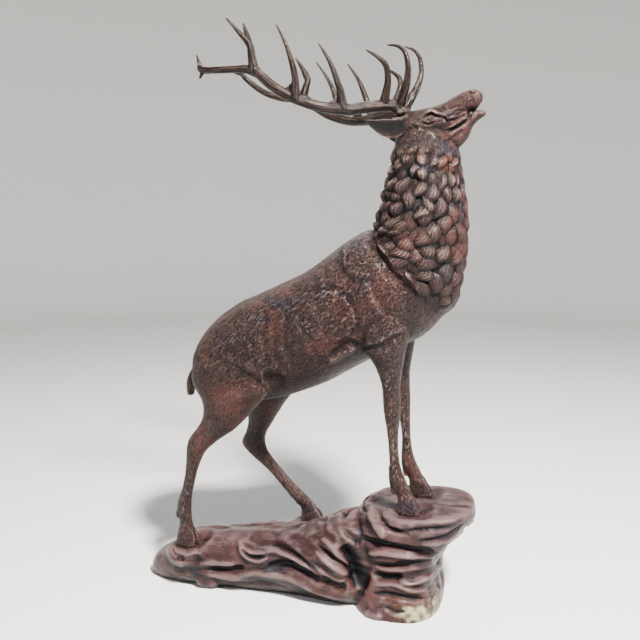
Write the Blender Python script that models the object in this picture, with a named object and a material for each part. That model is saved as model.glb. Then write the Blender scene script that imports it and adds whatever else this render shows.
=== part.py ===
"""Stag sculpture: a cast bronze stag on a rock base, with two antlers seated on its head.

Metres, +X towards the stag's head, +Y to its left, +Z up. The origin is the middle of
the base's flat underside. The figure is drawn in centimetres of a stag 115 high at the
withers whose fore hooves stand 41 over the floor; WITHERS_HEIGHT and LEDGE_HEIGHT turn
those rows into metres.
"""
import math

import bmesh
import bpy
import numpy as np
from mathutils import Matrix, Vector

# Driving sizes
WITHERS_HEIGHT = 1.15          # top of the shoulders over the fore hooves
LEDGE_HEIGHT = 0.41            # top of the ledge under the fore hooves, over the floor
FORE_STANCE = 0.11             # middle of each fore hoof from the middle plane
HIND_STANCE = 0.14             # middle of each hind hoof from the middle plane
SEAT_GAP = 0.0003              # between two castings that touch
LOCK_LENGTH = 0.060            # one tuft of the mane, root to tip
LOCK_COUNT = 19                # tufts round the neck
LOCK_DEPTH = 0.017             # how far a tuft's tip stands out
FOLD_DEPTH = 0.014             # relief of the rock's flowing folds
FOLD_SPACING = 0.085           # from fold to fold
BURR_RADIUS = 0.031            # flared foot of an antler, on its pedicle
PAD_MARGIN = 0.012             # flat rock around each hoof
PAD_DEPTH = 0.13               # headroom cut over each pad, and under each sole

# Fineness of the faceted solids: voxel of the fused shape in the sketch's centimetres,
# share of its faces kept
STAG_VOXEL, STAG_KEEP = 0.80, 0.040
ANTLER_VOXEL, ANTLER_KEEP = 0.55, 0.050
ROCK_VOXEL, ROCK_KEEP = 1.00, 0.047

# The sketch's own sizes, in its centimetres
SKETCH_WITHERS, SKETCH_LEDGE = 115.0, 41.0
SKETCH_FORE, SKETCH_HIND = 11.0, 14.0
SKETCH_FOOT = 10.0             # below this height the rock stretches to reach the floor
CM = WITHERS_HEIGHT / SKETCH_WITHERS

# Body sections, rump to chest: top x, z, bottom x, z, half width
TORSO = [(-56.2, 97, -55.5, 88, 4), (-53.2, 106, -51, 84, 12), (-46.2, 114.9, -42, 80, 16.5),
         (-35.7, 122.6, -30, 80, 18.5), (-25.6, 127.2, -18.5, 82.2, 19.2), (-15.3, 132, -9, 85.4, 20),
         (-4.3, 137.4, 3, 90.4, 20.5), (6.4, 145.3, 12, 95.5, 20.5), (15, 151.3, 22, 101.3, 19.5),
         (22, 154, 33, 106.5, 18.5), (30, 151, 44, 112.5, 16), (42, 145, 52, 122, 11),
         (49, 140, 54, 130, 4)]
# Neck sections, chest to throat: nape x, z, front x, z, half width
NECK = [(16, 139, 44, 115.5, 11), (19, 148, 54.6, 123.5, 15.5), (22, 152.5, 57.7, 134, 17),
        (24.6, 158.5, 59.2, 146, 17), (26.6, 165.5, 59.4, 157, 16), (28.4, 173, 58.4, 167, 14.5),
        (29.6, 180, 56.6, 176, 13), (30.6, 187, 56, 183, 11.5), (32, 193, 54.5, 188, 10),
        (35, 197, 50, 191, 6)]
# Skull and muzzle, back of the head to the nose: top x, z, bottom x, z, half width
SKULL = [(30, 193.5, 32, 189, 3), (33.5, 198.2, 38, 186, 8), (38, 199.8, 44, 187, 9.2),
         (44, 200.9, 49, 190, 8.5), (48.7, 202.1, 53.5, 193, 6.8), (52.4, 204.1, 56.7, 196.5, 5.4),
         (56.3, 206, 59.3, 198.5, 4.7), (59, 206.8, 61.2, 199.3, 4.6), (61.3, 206.7, 62.4, 200.3, 4.3),
         (63, 205.2, 63.2, 202.4, 2.6)]
# Lower jaw, cheek to chin
JAW = [(43, 193, 46, 184, 5), (49, 193.5, 54.5, 185, 5.4), (54.5, 194.5, 58.8, 189, 4.2),
       (58.3, 197, 60.7, 193.5, 3.4), (61.4, 199, 63, 195.8, 3.2), (64.6, 199.2, 65, 197, 2.4)]
# Between skull and jaw, behind the open mouth
CHEEK = [(46, 199, 49, 188, 6.4), (51, 199.5, 54.5, 190.5, 5.2), (55.2, 200.5, 57.6, 193.5, 4.2),
         (57.6, 200.6, 59.2, 195.6, 3.5), (58.8, 199.8, 59.6, 197.2, 2.4)]
TAIL = [(-51, 100, -54, 101, 2.5), (-53.5, 94, -57.5, 95, 3.2), (-56.5, 87.5, -61.3, 87.5, 3.0),
        (-58.5, 80.5, -61.5, 80.5, 1.5)]
# Legs, body to hoof: front x, z, rear x, z, side from the middle plane, half width
RIGHT_HIND = [(-20, 110, -42, 113, 8, 6), (-17.5, 98, -50, 102, 10, 8.5),
              (-19, 88, -52.8, 91, 11.5, 8.5), (-25.5, 79, -48.2, 82, 12.5, 7.5),
              (-33, 71, -47.6, 75.5, 13.5, 5.8), (-41, 65.2, -50, 70.5, 14, 4.2),
              (-46.6, 60, -54.5, 64.5, 14, 3.4), (-49.6, 54.6, -55.6, 58, 14, 3.0),
              (-51.8, 47.7, -56.4, 50, 14, 2.4), (-53.7, 39.7, -58.5, 41.5, 14, 2.2),
              (-54.3, 33.5, -60.8, 34.5, 14, 2.7), (-54.1, 28.5, -59.8, 28.3, 14, 2.3),
              (-53.2, 24.5, -60.0, 24.5, 14, 2.7)]
LEFT_HIND = [(-16, 108, -38, 112, 8, 6), (-13, 95, -47, 100, 10, 8.5), (-15, 84, -47, 88, 11.5, 8.5),
             (-20.5, 76, -41, 78, 12.5, 7), (-26.2, 67, -37.8, 69, 13.5, 4.5),
             (-29.5, 61.5, -39, 62.2, 14, 3.6), (-30.1, 57.5, -41.2, 56, 14, 3.2),
             (-28.5, 52.5, -37, 51, 14, 2.8), (-23.5, 46.4, -29, 44.7, 14, 2.4),
             (-17, 39.5, -22.2, 37.5, 14, 2.2), (-11, 34.2, -15.5, 30.5, 14, 2.7),
             (-6.8, 30.5, -13.5, 28.5, 14, 2.4), (-5, 28, -12.6, 26.5, 14, 2.8)]
RIGHT_FORE = [(38, 133, 18, 133, 8, 5), (40, 120, 18.5, 118, 10, 7.5), (38.5, 110, 21.5, 107.5, 11, 7),
              (37.2, 102, 25.7, 101, 11, 5.5), (36.1, 93, 28.7, 93, 11, 4.2),
              (36.4, 83, 29.6, 83, 11, 3.5), (35.7, 74.5, 31, 74.5, 11, 2.7),
              (35.7, 67, 31.9, 67, 11, 2.2), (36.7, 60, 32.3, 59.5, 11, 2.2),
              (38.5, 55.5, 32.6, 53, 11, 2.6), (40.2, 51.5, 35, 48.8, 11, 2.4),
              (41.6, 48.8, 35.8, 46.8, 11, 2.8)]
LEFT_FORE = [(38, 133, 18, 133, 8, 5), (40, 120, 18.5, 118, 10, 7.5), (38.5, 110, 21.5, 107.5, 11, 7),
             (37.5, 103, 25.7, 101, 11, 5.5), (36.3, 94, 29, 93, 11, 4.2), (36.7, 83, 30, 83, 11, 3.5),
             (36.8, 74.5, 32.2, 74.5, 11, 2.7), (37.1, 67, 33.3, 67, 11, 2.2),
             (38, 60, 33.4, 60, 11, 2.2), (39.5, 55.5, 33.6, 53, 11, 2.6),
             (41.5, 51.5, 36, 49, 11, 2.4), (42.9, 48.8, 36.8, 46.8, 11, 2.8)]
# Each leg with its hoof's toe x, heel x and height of the flat sole, its side and its stance
LEGS = {"right_hind": (RIGHT_HIND, (-51.5, -61.0, 17.0), -1, HIND_STANCE),
        "left_hind": (LEFT_HIND, (-2.5, -12.2, 22.0), 1, HIND_STANCE),
        "right_fore": (RIGHT_FORE, (45.2, 36.0, 41.0), -1, FORE_STANCE),
        "left_fore": (LEFT_FORE, (46.8, 37.6, 41.0), 1, FORE_STANCE)}
HOOF_HALF = 3.7
# Ears, root to tip: upper edge x, z, lower edge x, z, side, half thickness
EAR = [(38.4, 195.3, 38.8, 192.2, 5.4, 2.2), (35.6, 195.2, 35.9, 191.4, 7.8, 1.7),
       (32.4, 195.0, 32.7, 189.3, 9.8, 1.4), (28.2, 195.4, 28.5, 189.4, 11.8, 1.2),
       (24.7, 195.5, 25.1, 191.7, 13.2, 1.0), (21.9, 195.7, 22.4, 194.4, 14.4, 0.7)]
# Pedicles that carry the antlers: x, side, z, radius
PEDICLE = [(36.5, 3.4, 196, 3.2), (35.4, 3.9, 197.6, 2.8), (33.9, 4.7, 199.4, 2.6)]
# Eyes, brows and nostrils: x, side, z and half sizes
FACE = [((45.6, 7.2, 196.2), (1.9, 1.2, 1.5)), ((46.0, 6.6, 198.4), (3.2, 1.6, 1.1)),
        ((61.6, 2.9, 204.4), (1.3, 1.4, 1.4))]
# Muscles that stand out or sink in on each flank: x, z, reach, relief
MUSCLES = [(24, 137, 11, 1.3), (30, 121, 10, 1.2), (3, 117, 11, 0.9), (-13, 108, 7, -1.0),
           (15, 124, 6, -0.9), (-33, 106, 13, 1.3), (-22, 121, 9, 0.6), (-50, 96, 7, 0.6)]
MANE_LENGTH = 60.0             # from the nape down to the chest
# Antlers: x, side, z, radius
BEAM = [(34.6, 4.2, 198.2, 2.4), (32.6, 5.4, 200.2, 2.3), (29.8, 7.0, 201.3, 2.3),
        (22.0, 12, 200.2, 2.3), (15, 17, 199.0, 2.2), (6.9, 21.5, 199.7, 2.0), (-1.7, 25, 202.2, 1.9),
        (-8.8, 27, 206.0, 1.9), (-14.3, 28, 210.4, 1.9), (-17.6, 28.5, 213.5, 1.8)]
TINES = {
    "brow": [(32.8, 5.2, 200.6, 2.1), (34.6, 7.2, 204.6, 1.9), (36.4, 9.4, 208.6, 1.5),
             (37.3, 11.5, 213.9, 1.15), (36.2, 12.0, 219.2, 0.9), (33.4, 11.5, 221.9, 0.65),
             (29.1, 10.5, 222.8, 0.3)],
    "bez": [(27.6, 8.4, 201.2, 2.1), (28.8, 10.2, 205.4, 1.6), (29.9, 12.2, 209.8, 1.25),
            (29.6, 15, 214.4, 1.1), (27.0, 17, 217.3, 0.8), (22.7, 18, 219.9, 0.3)],
    "trez": [(13.6, 17.9, 199.8, 2.4), (13.6, 18.8, 203.6, 1.6), (12.9, 20, 207.4, 1.3),
             (10.1, 22, 215.5, 0.85), (6.0, 23, 222.3, 0.3)],
    "royal": [(-2.6, 25.2, 202.8, 2.5), (-2.0, 26.1, 206.6, 1.6), (-1.9, 27, 210.8, 1.3),
              (-3.2, 28.5, 217.1, 1.0), (-5.3, 29, 222.7, 0.65), (-8.3, 29, 228.5, 0.3)],
    "crown_up": [(-17.2, 28.4, 212.5, 1.9), (-17.8, 28.8, 217.0, 1.6), (-18.5, 29.2, 221.5, 1.3),
                 (-22.1, 30, 226.0, 0.9), (-27.4, 30, 231.6, 0.3)],
    "crown_inner": [(-18.3, 29.0, 220.6, 1.3), (-19.6, 28.3, 224.6, 1.1), (-20.8, 27.4, 227.6, 0.8),
                    (-22.1, 26.5, 230.4, 0.3)],
    "crown_back": [(-15.6, 28.3, 212.0, 2.0), (-20.5, 28.2, 213.4, 1.6), (-26, 27.9, 213.7, 1.35),
                   (-33.5, 27, 214.0, 1.3), (-39.6, 25.6, 214.7, 1.3), (-40.6, 25.3, 217.0, 0.8),
                   (-41.8, 25.0, 220.4, 0.3)],
    "crown_low": [(-38.4, 25.9, 214.6, 1.1), (-39.8, 25.4, 212.9, 0.7), (-40.8, 25.0, 211.4, 0.3)],
}
# How far the left antler's tines stand from a mirror image: at the root x, z, at the tip x, z
LEFT_LEAN = {"brow": (0, 0, 2.8, 3.6), "trez": (3.6, 0, -0.5, 1.2), "royal": (4.6, -0.6, -1.0, -2.4),
             "crown_up": (1.5, -0.8, 7.6, -3.4), "crown_inner": (4.2, -1.9, 3.4, -2.4)}
# The left antler's rear branch rises steeply to a short fork
LEFT_TINES = {
    "crown_back": [(-13.9, 28.2, 211.4, 2.0), (-20, 28.3, 210.9, 1.7), (-25.1, 28.2, 211.2, 1.5),
                   (-30.5, 27.8, 212.6, 1.4), (-35.5, 27.4, 215.0, 1.35), (-40, 27, 218.4, 1.3),
                   (-42.8, 26.7, 220.9, 1.2), (-44.4, 26.4, 223.2, 0.8), (-45.0, 26.2, 225.4, 0.3)],
    "crown_low": [(-43.4, 26.6, 221.8, 0.9), (-45.6, 26.4, 222.4, 0.6), (-47.4, 26.2, 222.6, 0.3)],
}
# Rock: a low body along the floor and a ledge that overhangs at the head end,
# each as first x, z, second x, z, side of its middle, half width
LOW_ROCK = [(-76.4, 1, -76.4, -2, -2, 4), (-74.5, 8, -75.5, -3, -2, 10), (-68, 12, -69, -4, -2, 14.5),
            (-59, 17.6, -59, -4, -2.5, 17.2), (-46, 19.4, -46, -4, -1.5, 18.5),
            (-30, 21.8, -30, -4, -0.5, 18.5), (-15, 23.8, -15, -4, 0, 18.3),
            (-3, 27.8, -3, -4, -0.5, 18.8), (8, 32.2, 8, -4, -1.5, 20), (16, 35, 16, -4, -1.5, 20),
            (24, 34, 24, -4, 0, 17), (34, 28, 34, -4, 1, 12)]
LEDGE = [(52.8, -4, 17, -4, 1, 24.5), (53.4, 3, 17, 2, 1, 24), (52, 9, 18, 8, 1, 21.5),
         (51.2, 15, 18, 14, 1, 19.5), (52, 20, 17, 19, 1, 18), (56, 26, 16, 25, 1.5, 19.5),
         (60.4, 31.5, 16, 30, 2, 21), (64, 36.5, 17, 34.5, 2.5, 21.5), (65.3, 40.4, 20, 38, 2.5, 20.5),
         (63.6, 42.8, 24, 40.2, 2.5, 18.5), (56, 43.2, 31, 41.4, 2.5, 11)]
LOW_ROCK_LEAN = 0.12           # the low rock's top falls towards the left
# The deep cleft on the right side: top x, z, foot x, z, reach, depth
CLEFT = (16, 27, 25, 4, 2.8, 5.5)
# A mound carries each hoof: how far it reaches past the hoof, its drop and its half height
MOUND = (3.0, 3.2, 4.8)


def sketch(x, side, z):
    """A place of the sketch, in metres."""
    return Vector((x * CM, side * CM, height(z)))


def height(z):
    """Height over the floor of a row's z, in metres."""
    return LEDGE_HEIGHT + (z - SKETCH_LEDGE) * CM


def rock_height(z):
    """The same, but stretched under SKETCH_FOOT so that 0 stays on the floor."""
    return np.where(z > SKETCH_FOOT, height(z), z / SKETCH_FOOT * height(SKETCH_FOOT))


def along(rows, count):
    """Even steps on a Catmull-Rom curve through the rows, column by column."""
    rows = np.asarray(rows, float)
    ends = np.vstack([2 * rows[0] - rows[1], rows, 2 * rows[-1] - rows[-2]])
    t = np.linspace(0, len(rows) - 1, count)
    k = np.minimum(t.astype(int), len(rows) - 2)
    f = (t - k)[:, None]
    a, b, c, d = ends[k], ends[k + 1], ends[k + 2], ends[k + 3]
    bend = (2 * a - 5 * b + 4 * c - d) * f ** 2 + (3 * b - a - 3 * c + d) * f ** 3
    return 0.5 * (2 * b + (c - a) * f + bend)


def skin(bm, rings):
    """Join rings of points, (rings, sides, 3), into a closed tube with a fan at each end."""
    count, sides = rings.shape[:2]
    grid = [[bm.verts.new(p) for p in ring] for ring in rings]
    for i in range(count - 1):
        for j in range(sides):
            k = (j + 1) % sides
            bm.faces.new((grid[i][j], grid[i][k], grid[i + 1][k], grid[i + 1][j]))
    for ring, flip in ((0, True), (count - 1, False)):
        middle = bm.verts.new(rings[ring].mean(axis=0))
        for j in range(sides):
            k = (j + 1) % sides
            loop = (grid[ring][j], grid[ring][k], middle)
            bm.faces.new(loop[::-1] if flip else loop)


def sections(bm, rows, sides=16, rings=40, relief=None, mirror=1, stance=None, up=height,
             square=1.0, spread=1.0, lean=0.0):
    """Tube through flat sections, each from a first to a second point and a half width.

    relief(around, down, place) gives how far the surface stands out, in metres. A square
    below 1 fills out the corners of the oval sections, spread widens them, and lean lets
    them fall towards the left.
    """
    rows = np.asarray(rows, float)
    if rows.shape[1] == 5:
        rows = np.insert(rows, 4, 0.0, axis=1)
    if stance is not None:
        rows[:, 4] *= stance / (rows[-1, 4] * CM)
    p = along(rows, rings)
    first = np.stack([p[:, 0] * CM, mirror * p[:, 4] * CM, up(p[:, 1])], axis=1)
    second = np.stack([p[:, 2] * CM, mirror * p[:, 4] * CM, up(p[:, 3])], axis=1)
    angle = np.linspace(0, 2 * math.pi, sides, endpoint=False)[None, :, None]
    half = ((first - second) / 2)[:, None, :]
    across = np.array([0.0, 1.0, -lean]) * (spread * p[:, 5] * CM)[:, None, None]
    turn_cos, turn_sin = np.cos(angle), np.sin(angle)
    turn_cos = np.sign(turn_cos) * np.abs(turn_cos) ** square
    turn_sin = np.sign(turn_sin) * np.abs(turn_sin) ** square
    shape = turn_cos * half + turn_sin * across
    rings_at = ((first + second) / 2)[:, None, :] + shape
    if relief is not None:
        out = shape / np.linalg.norm(shape, axis=2, keepdims=True)
        down = np.linspace(0, 1, rings)[:, None]
        rings_at = rings_at + out * relief(angle[:, :, 0], down, rings_at)[:, :, None]
    skin(bm, rings_at)


def branch(bm, rows, mirror=1, sides=12, rings=24):
    """Round tube through rows of x, side, z and radius, as an antler's tine."""
    p = along(rows, rings)
    path = np.stack([p[:, 0] * CM, mirror * p[:, 1] * CM, height(p[:, 2])], axis=1)
    tangent = np.gradient(path, axis=0)
    tangent /= np.linalg.norm(tangent, axis=1, keepdims=True)
    side = np.cross(tangent, np.array([0.0, 1.0, 0.0]))
    side /= np.linalg.norm(side, axis=1, keepdims=True)
    other = np.cross(tangent, side)
    angle = np.linspace(0, 2 * math.pi, sides, endpoint=False)[None, :, None]
    radius = (p[:, 3] * CM)[:, None, None]
    round_it = np.cos(angle) * side[:, None, :] + np.sin(angle) * other[:, None, :]
    skin(bm, path[:, None, :] + radius * round_it)


def ball(bm, place, size):
    """Ellipsoid of half sizes size at a place of the sketch."""
    made = bmesh.ops.create_icosphere(bm, subdivisions=3, radius=1.0)
    scale = Matrix.Diagonal((size[0] * CM, size[1] * CM, size[2] * CM, 1.0))
    bmesh.ops.transform(bm, matrix=Matrix.Translation(sketch(*place)) @ scale, verts=made["verts"])


def mane(around, down, place):
    """Staggered rows of pointed tufts that hang down the neck, fading at the throat."""
    row_at = (1.0 - down) * MANE_LENGTH * CM / LOCK_LENGTH
    row = np.floor(row_at)
    fall = row_at - row
    sway = 0.22 * np.sin(2.3 * row + 3.0 * around)
    turn = around / (2 * math.pi) * LOCK_COUNT + 0.5 * row + sway
    offset = np.abs(2.0 * (turn - np.floor(turn)) - 1.0)
    width = 1.0 - 0.75 * fall ** 2.5
    tuft = np.clip(1.0 - (offset / width) ** 2, 0.0, 1.0)
    fade = np.clip((0.93 - down) / 0.12, 0.0, 1.0)
    return LOCK_DEPTH * fade * (tuft * (0.35 + 0.65 * fall) - 0.25)


def muscles(around, down, place):
    """Round swells and hollows on both flanks, none along the spine and the belly."""
    x = place[..., 0] / CM
    z = (place[..., 2] - LEDGE_HEIGHT) / CM + SKETCH_LEDGE
    swell = np.zeros_like(x)
    for at, up, reach, out in MUSCLES:
        swell += out * np.exp(-((x - at) ** 2 + (z - up) ** 2) / reach ** 2)
    return np.sin(around) ** 2 * swell * CM


def folds(around, down, place):
    """Flowing folds that wander along the rock, one over the other, and rise at the cleft."""
    x, y, z = np.moveaxis(place / CM, -1, 0)
    spacing = FOLD_SPACING / CM
    level = z - 0.8 * np.abs(y) + 5.0 * np.sin(0.09 * x + 0.04 * y) + 2.2 * np.sin(0.23 * x - 0.11 * z)
    rise = 0.5 * np.exp(-((x - 10.0) / 16.0) ** 2) * x
    wave = np.sin(2 * math.pi * (level + rise) / spacing)
    swell = np.sin(2 * math.pi * (x - 0.6 * z + 0.5 * y) / (3.1 * spacing))
    top_x, top_z, foot_x, foot_z, reach, depth = CLEFT
    share = np.clip((z - foot_z) / (top_z - foot_z), 0, 1)
    off = (x - foot_x - share * (top_x - foot_x)) / (reach * (0.6 + 0.8 * share))
    open_side = np.sin(math.pi * np.clip(share * 0.9 + 0.1, 0, 1)) * (y < -5.0)
    cleft = depth * np.exp(-off ** 2) * open_side
    return FOLD_DEPTH * (0.75 * wave + 0.45 * swell - 0.3) - cleft * CM


def material(name, colour, roughness):
    """Patinated bronze of one colour."""
    made = bpy.data.materials.new(name)
    made.use_nodes = True
    shader = made.node_tree.nodes["Principled BSDF"]
    shader.inputs["Base Color"].default_value = (*colour, 1.0)
    shader.inputs["Metallic"].default_value = 0.6
    shader.inputs["Roughness"].default_value = roughness
    return made


def solid(name, bm, finish, voxel, keep):
    """Fuse the overlapping shapes of bm into one casting and facet it."""
    bmesh.ops.recalc_face_normals(bm, faces=bm.faces)
    mesh = bpy.data.meshes.new(name)
    bm.to_mesh(mesh)
    bm.free()
    mesh.materials.append(finish)
    obj = bpy.data.objects.new(name, mesh)
    bpy.context.collection.objects.link(obj)
    fuse = obj.modifiers.new("fuse", "REMESH")
    fuse.mode = "VOXEL"
    fuse.voxel_size = voxel * CM
    facet = obj.modifiers.new("facet", "DECIMATE")
    facet.ratio = keep
    facet.use_collapse_triangulate = True
    return obj


def cutter(name, low, high, turn=None, at=None):
    """Box from low to high, in its own axes, turned and moved into place."""
    bm = bmesh.new()
    made = bmesh.ops.create_cube(bm, size=1.0)
    size = Vector(high) - Vector(low)
    middle = (Vector(high) + Vector(low)) / 2
    box = Matrix.Translation(middle) @ Matrix.Diagonal((*size, 1.0))
    place = Matrix.Translation(at or (0, 0, 0)) @ (turn.to_matrix().to_4x4() if turn else Matrix.Identity(4))
    bmesh.ops.transform(bm, matrix=place @ box, verts=made["verts"])
    mesh = bpy.data.meshes.new(name)
    bm.to_mesh(mesh)
    bm.free()
    obj = bpy.data.objects.new(name, mesh)
    bpy.context.collection.objects.link(obj)
    obj.hide_render = True
    obj.display_type = "WIRE"
    return obj


def cut(obj, tool):
    """Take tool away from obj."""
    boolean = obj.modifiers.new(tool.name, "BOOLEAN")
    boolean.operation = "DIFFERENCE"
    boolean.solver = "EXACT"
    boolean.object = tool


def hoof(bm, toe, heel, sole, mirror, stance):
    """Two claws side by side that widen from the pastern to the flat sole."""
    side = stance / CM
    top = sole + 8.0
    for inner in (-1, 1):
        rows = [(toe - 2.6, top + 1.5, heel + 1.6, top + 1.5, side + inner * 1.2, 1.2),
                (toe - 1.9, top - 0.5, heel + 0.8, top - 1, side + inner * 1.5, 1.7),
                (toe - 0.8, sole + 4, heel + 0.2, sole + 4, side + inner * 1.8, 1.8),
                (toe, sole + 1, heel, sole + 1, side + inner * 1.95, 1.85),
                (toe, sole - 1.5, heel, sole - 1.5, side + inner * 1.95, 1.8)]
        sections(bm, rows, rings=12, mirror=mirror)
    for inner in (-1, 1):
        ball(bm, (heel + 0.6, mirror * (side + inner * 1.7), top + 3.2), (1.6, 1.2, 1.7))


# Start from an empty scene
for old in list(bpy.data.objects):
    bpy.data.objects.remove(old)

body_bronze = material("body_bronze", (0.115, 0.062, 0.045), 0.32)
antler_bronze = material("antler_bronze", (0.075, 0.042, 0.022), 0.36)
rock_bronze = material("rock_bronze", (0.090, 0.056, 0.055), 0.24)

# The stag is one casting: body, neck, head, legs, ears and tail
bm = bmesh.new()
sections(bm, TORSO, sides=64, rings=80, relief=muscles)
sections(bm, NECK, sides=152, rings=120, relief=mane)
sections(bm, SKULL, sides=24, rings=40)
sections(bm, JAW, sides=16, rings=24)
sections(bm, CHEEK, sides=16, rings=20)
sections(bm, TAIL, sides=12, rings=16)
for rows, sole, mirror, stance in LEGS.values():
    sections(bm, rows, rings=70, mirror=mirror, stance=stance)
    hoof(bm, *sole, mirror, stance)
for mirror in (-1, 1):
    sections(bm, EAR, sides=14, rings=20, mirror=mirror)
    branch(bm, PEDICLE, mirror)
    for (x, side, z), size in FACE:
        ball(bm, (x, mirror * side, z), size)
stag = solid("stag", bm, body_bronze, STAG_VOXEL, STAG_KEEP)

# Each antler is a casting of its own: beam, tines and flared burr
seat_low, seat_high = sketch(*BEAM[0][:3]), sketch(*BEAM[1][:3])
for name, mirror in (("right_antler", -1), ("left_antler", 1)):
    bm = bmesh.new()
    branch(bm, BEAM, mirror, rings=70)
    for tine_name, tine in ({**TINES, **LEFT_TINES} if mirror > 0 else TINES).items():
        rows = np.array(tine)
        if mirror > 0:
            lean = np.array(LEFT_LEAN.get(tine_name, (0, 0, 0, 0))).reshape(2, 2)
            out = np.linspace(0, 1, len(rows))[:, None]
            rows[:, [0, 2]] += lean[0] + out * (lean[1] - lean[0])
        branch(bm, rows, mirror)
    low = Vector(seat_low)
    axis = (seat_high - seat_low).normalized()
    low.y, axis.y = mirror * low.y, mirror * axis.y
    burr = BURR_RADIUS / CM
    ball(bm, (BEAM[0][0] - 0.5, mirror * (BEAM[0][1] + 0.4), BEAM[0][2] + 0.6), (burr, burr, 0.55 * burr))
    antler = solid(name, bm, antler_bronze, ANTLER_VOXEL, ANTLER_KEEP)
    turn = axis.to_track_quat("Z", "Y")
    reach, near = 3 * BURR_RADIUS, 1.25 * BURR_RADIUS
    cut(antler, cutter(name + "_foot", (-reach, -reach, -reach), (reach, reach, SEAT_GAP / 2), turn, low))
    cut(stag, cutter(name + "_seat", (-near, -near, -SEAT_GAP / 2), (near, near, BURR_RADIUS), turn, low))

# The rock is one casting, with a firm mound under each hoof, cut flat below and under them
bm = bmesh.new()
sections(bm, LOW_ROCK, sides=96, rings=140, relief=folds, up=rock_height, square=0.75,
         spread=HIND_STANCE / (SKETCH_HIND * CM), lean=LOW_ROCK_LEAN)
sections(bm, LEDGE, sides=120, rings=70, relief=folds, up=rock_height, square=0.75,
         spread=FORE_STANCE / (SKETCH_FORE * CM))
past, drop, half_height = MOUND
for rows, (toe, heel, sole), mirror, stance in LEGS.values():
    middle = ((toe + heel) / 2, mirror * stance / CM, sole - drop)
    ball(bm, middle, ((toe - heel) / 2 + past, HOOF_HALF + past, half_height))
rock = solid("rock_base", bm, rock_bronze, ROCK_VOXEL, ROCK_KEEP)
wide = 1.1 * WITHERS_HEIGHT
cut(rock, cutter("floor", (-wide, -wide, -wide), (wide, wide, 0.0)))
for name, (rows, (toe, heel, sole), mirror, stance) in LEGS.items():
    pad = height(sole)
    half = HOOF_HALF * CM + PAD_MARGIN
    low = (heel * CM - PAD_MARGIN, mirror * stance - half)
    high = (toe * CM + PAD_MARGIN, mirror * stance + half)
    cut(rock, cutter(name + "_pad", (*low, pad - SEAT_GAP / 2), (*high, pad + PAD_DEPTH)))
    cut(stag, cutter(name + "_sole", (*low, pad - PAD_DEPTH), (*high, pad + SEAT_GAP / 2)))
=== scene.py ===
import math

import bpy
import numpy as np
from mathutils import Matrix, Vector


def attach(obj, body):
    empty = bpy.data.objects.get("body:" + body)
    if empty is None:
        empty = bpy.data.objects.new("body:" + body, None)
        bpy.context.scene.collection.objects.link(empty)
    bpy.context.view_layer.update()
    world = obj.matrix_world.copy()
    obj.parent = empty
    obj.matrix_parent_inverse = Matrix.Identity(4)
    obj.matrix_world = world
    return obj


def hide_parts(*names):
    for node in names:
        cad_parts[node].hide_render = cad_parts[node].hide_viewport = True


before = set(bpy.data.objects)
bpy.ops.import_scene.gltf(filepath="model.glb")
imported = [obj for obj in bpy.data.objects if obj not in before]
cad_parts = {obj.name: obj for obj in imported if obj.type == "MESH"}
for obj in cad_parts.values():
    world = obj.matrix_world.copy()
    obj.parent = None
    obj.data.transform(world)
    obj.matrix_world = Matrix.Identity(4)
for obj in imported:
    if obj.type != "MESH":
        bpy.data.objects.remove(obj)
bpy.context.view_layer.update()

# The rock base: one hollow bronze casting of folded rock, low at the tail end and rising to
# a ledge that overhangs at the head end. Cast from a modelled clay original, patinated
# violet-brown and waxed; it carries the stag on four flat pads.
CM = 0.01
LOW_ROCK = [(-76.4, 1, -76.4, -2, -2, 4), (-74.5, 8, -75.5, -3, -2, 10),
    (-68, 12, -69, -4, -2, 14.5), (-59, 17.6, -59, -4, -2.5, 17.2),
    (-46, 19.4, -46, -4, -1.5, 18.5), (-30, 21.8, -30, -4, -0.5, 18.5),
    (-15, 23.8, -15, -4, 0, 18.3), (-3, 27.8, -3, -4, -0.5, 18.8), (8, 32.2, 8, -4, -1.5, 20),
    (16, 35, 16, -4, -1.5, 20), (24, 34, 24, -4, 0, 17), (34, 28, 34, -4, 1, 12)]
LEDGE = [(52.8, -4, 17, -4, 1, 24.5), (53.4, 3, 17, 2, 1, 24), (52, 9, 18, 8, 1, 21.5),
    (51.2, 15, 18, 14, 1, 19.5), (52, 20, 17, 19, 1, 18), (56, 26, 16, 25, 1.5, 19.5),
    (60.4, 31.5, 16, 30, 2, 21), (64, 36.5, 17, 34.5, 2.5, 21.5), (65.3, 40.4, 20, 38, 2.5, 20.5),
    (63.6, 42.8, 24, 40.2, 2.5, 18.5), (56, 43.2, 31, 41.4, 2.5, 11)]
LOW_ROCK_LEAN = 0.12
# Each hoof's toe x, heel x, sole height and side; half a hoof's width
HOOVES = [(-51.5, -61, 17, -14), (-2.5, -12.2, 22, 14), (45.2, 36, 41, -11), (46.8, 37.6, 41, 11)]
HOOF_HALF = 3.7
PAD_MARGIN = 0.4
SEAT_GAP = 0.03
ROCK_VOXEL = 0.45
ROCK_TRIANGLES = 190000
# Height between two folds; how far a point stands out for a full crest or swell of its patina, which
# also paints highlight on crests and shade in hollows
FOLD_PITCH = 8.5
CREST, SWELL = 0.08, 0.5
PRIMES = (73856093, 19349663, 83492791)


def circle(sides):
    """Angles of evenly spaced points round a circle."""
    return np.linspace(0, 2 * math.pi, sides, endpoint=False)


def unit(vectors):
    """The vectors at length 1."""
    return vectors / np.maximum(np.linalg.norm(vectors, axis=1, keepdims=True), 1e-9)


def power(value, exponent):
    """The value's size to a power, with its sign kept; under 1 this squares a circle off."""
    return np.sign(value) * np.abs(value) ** exponent


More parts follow.
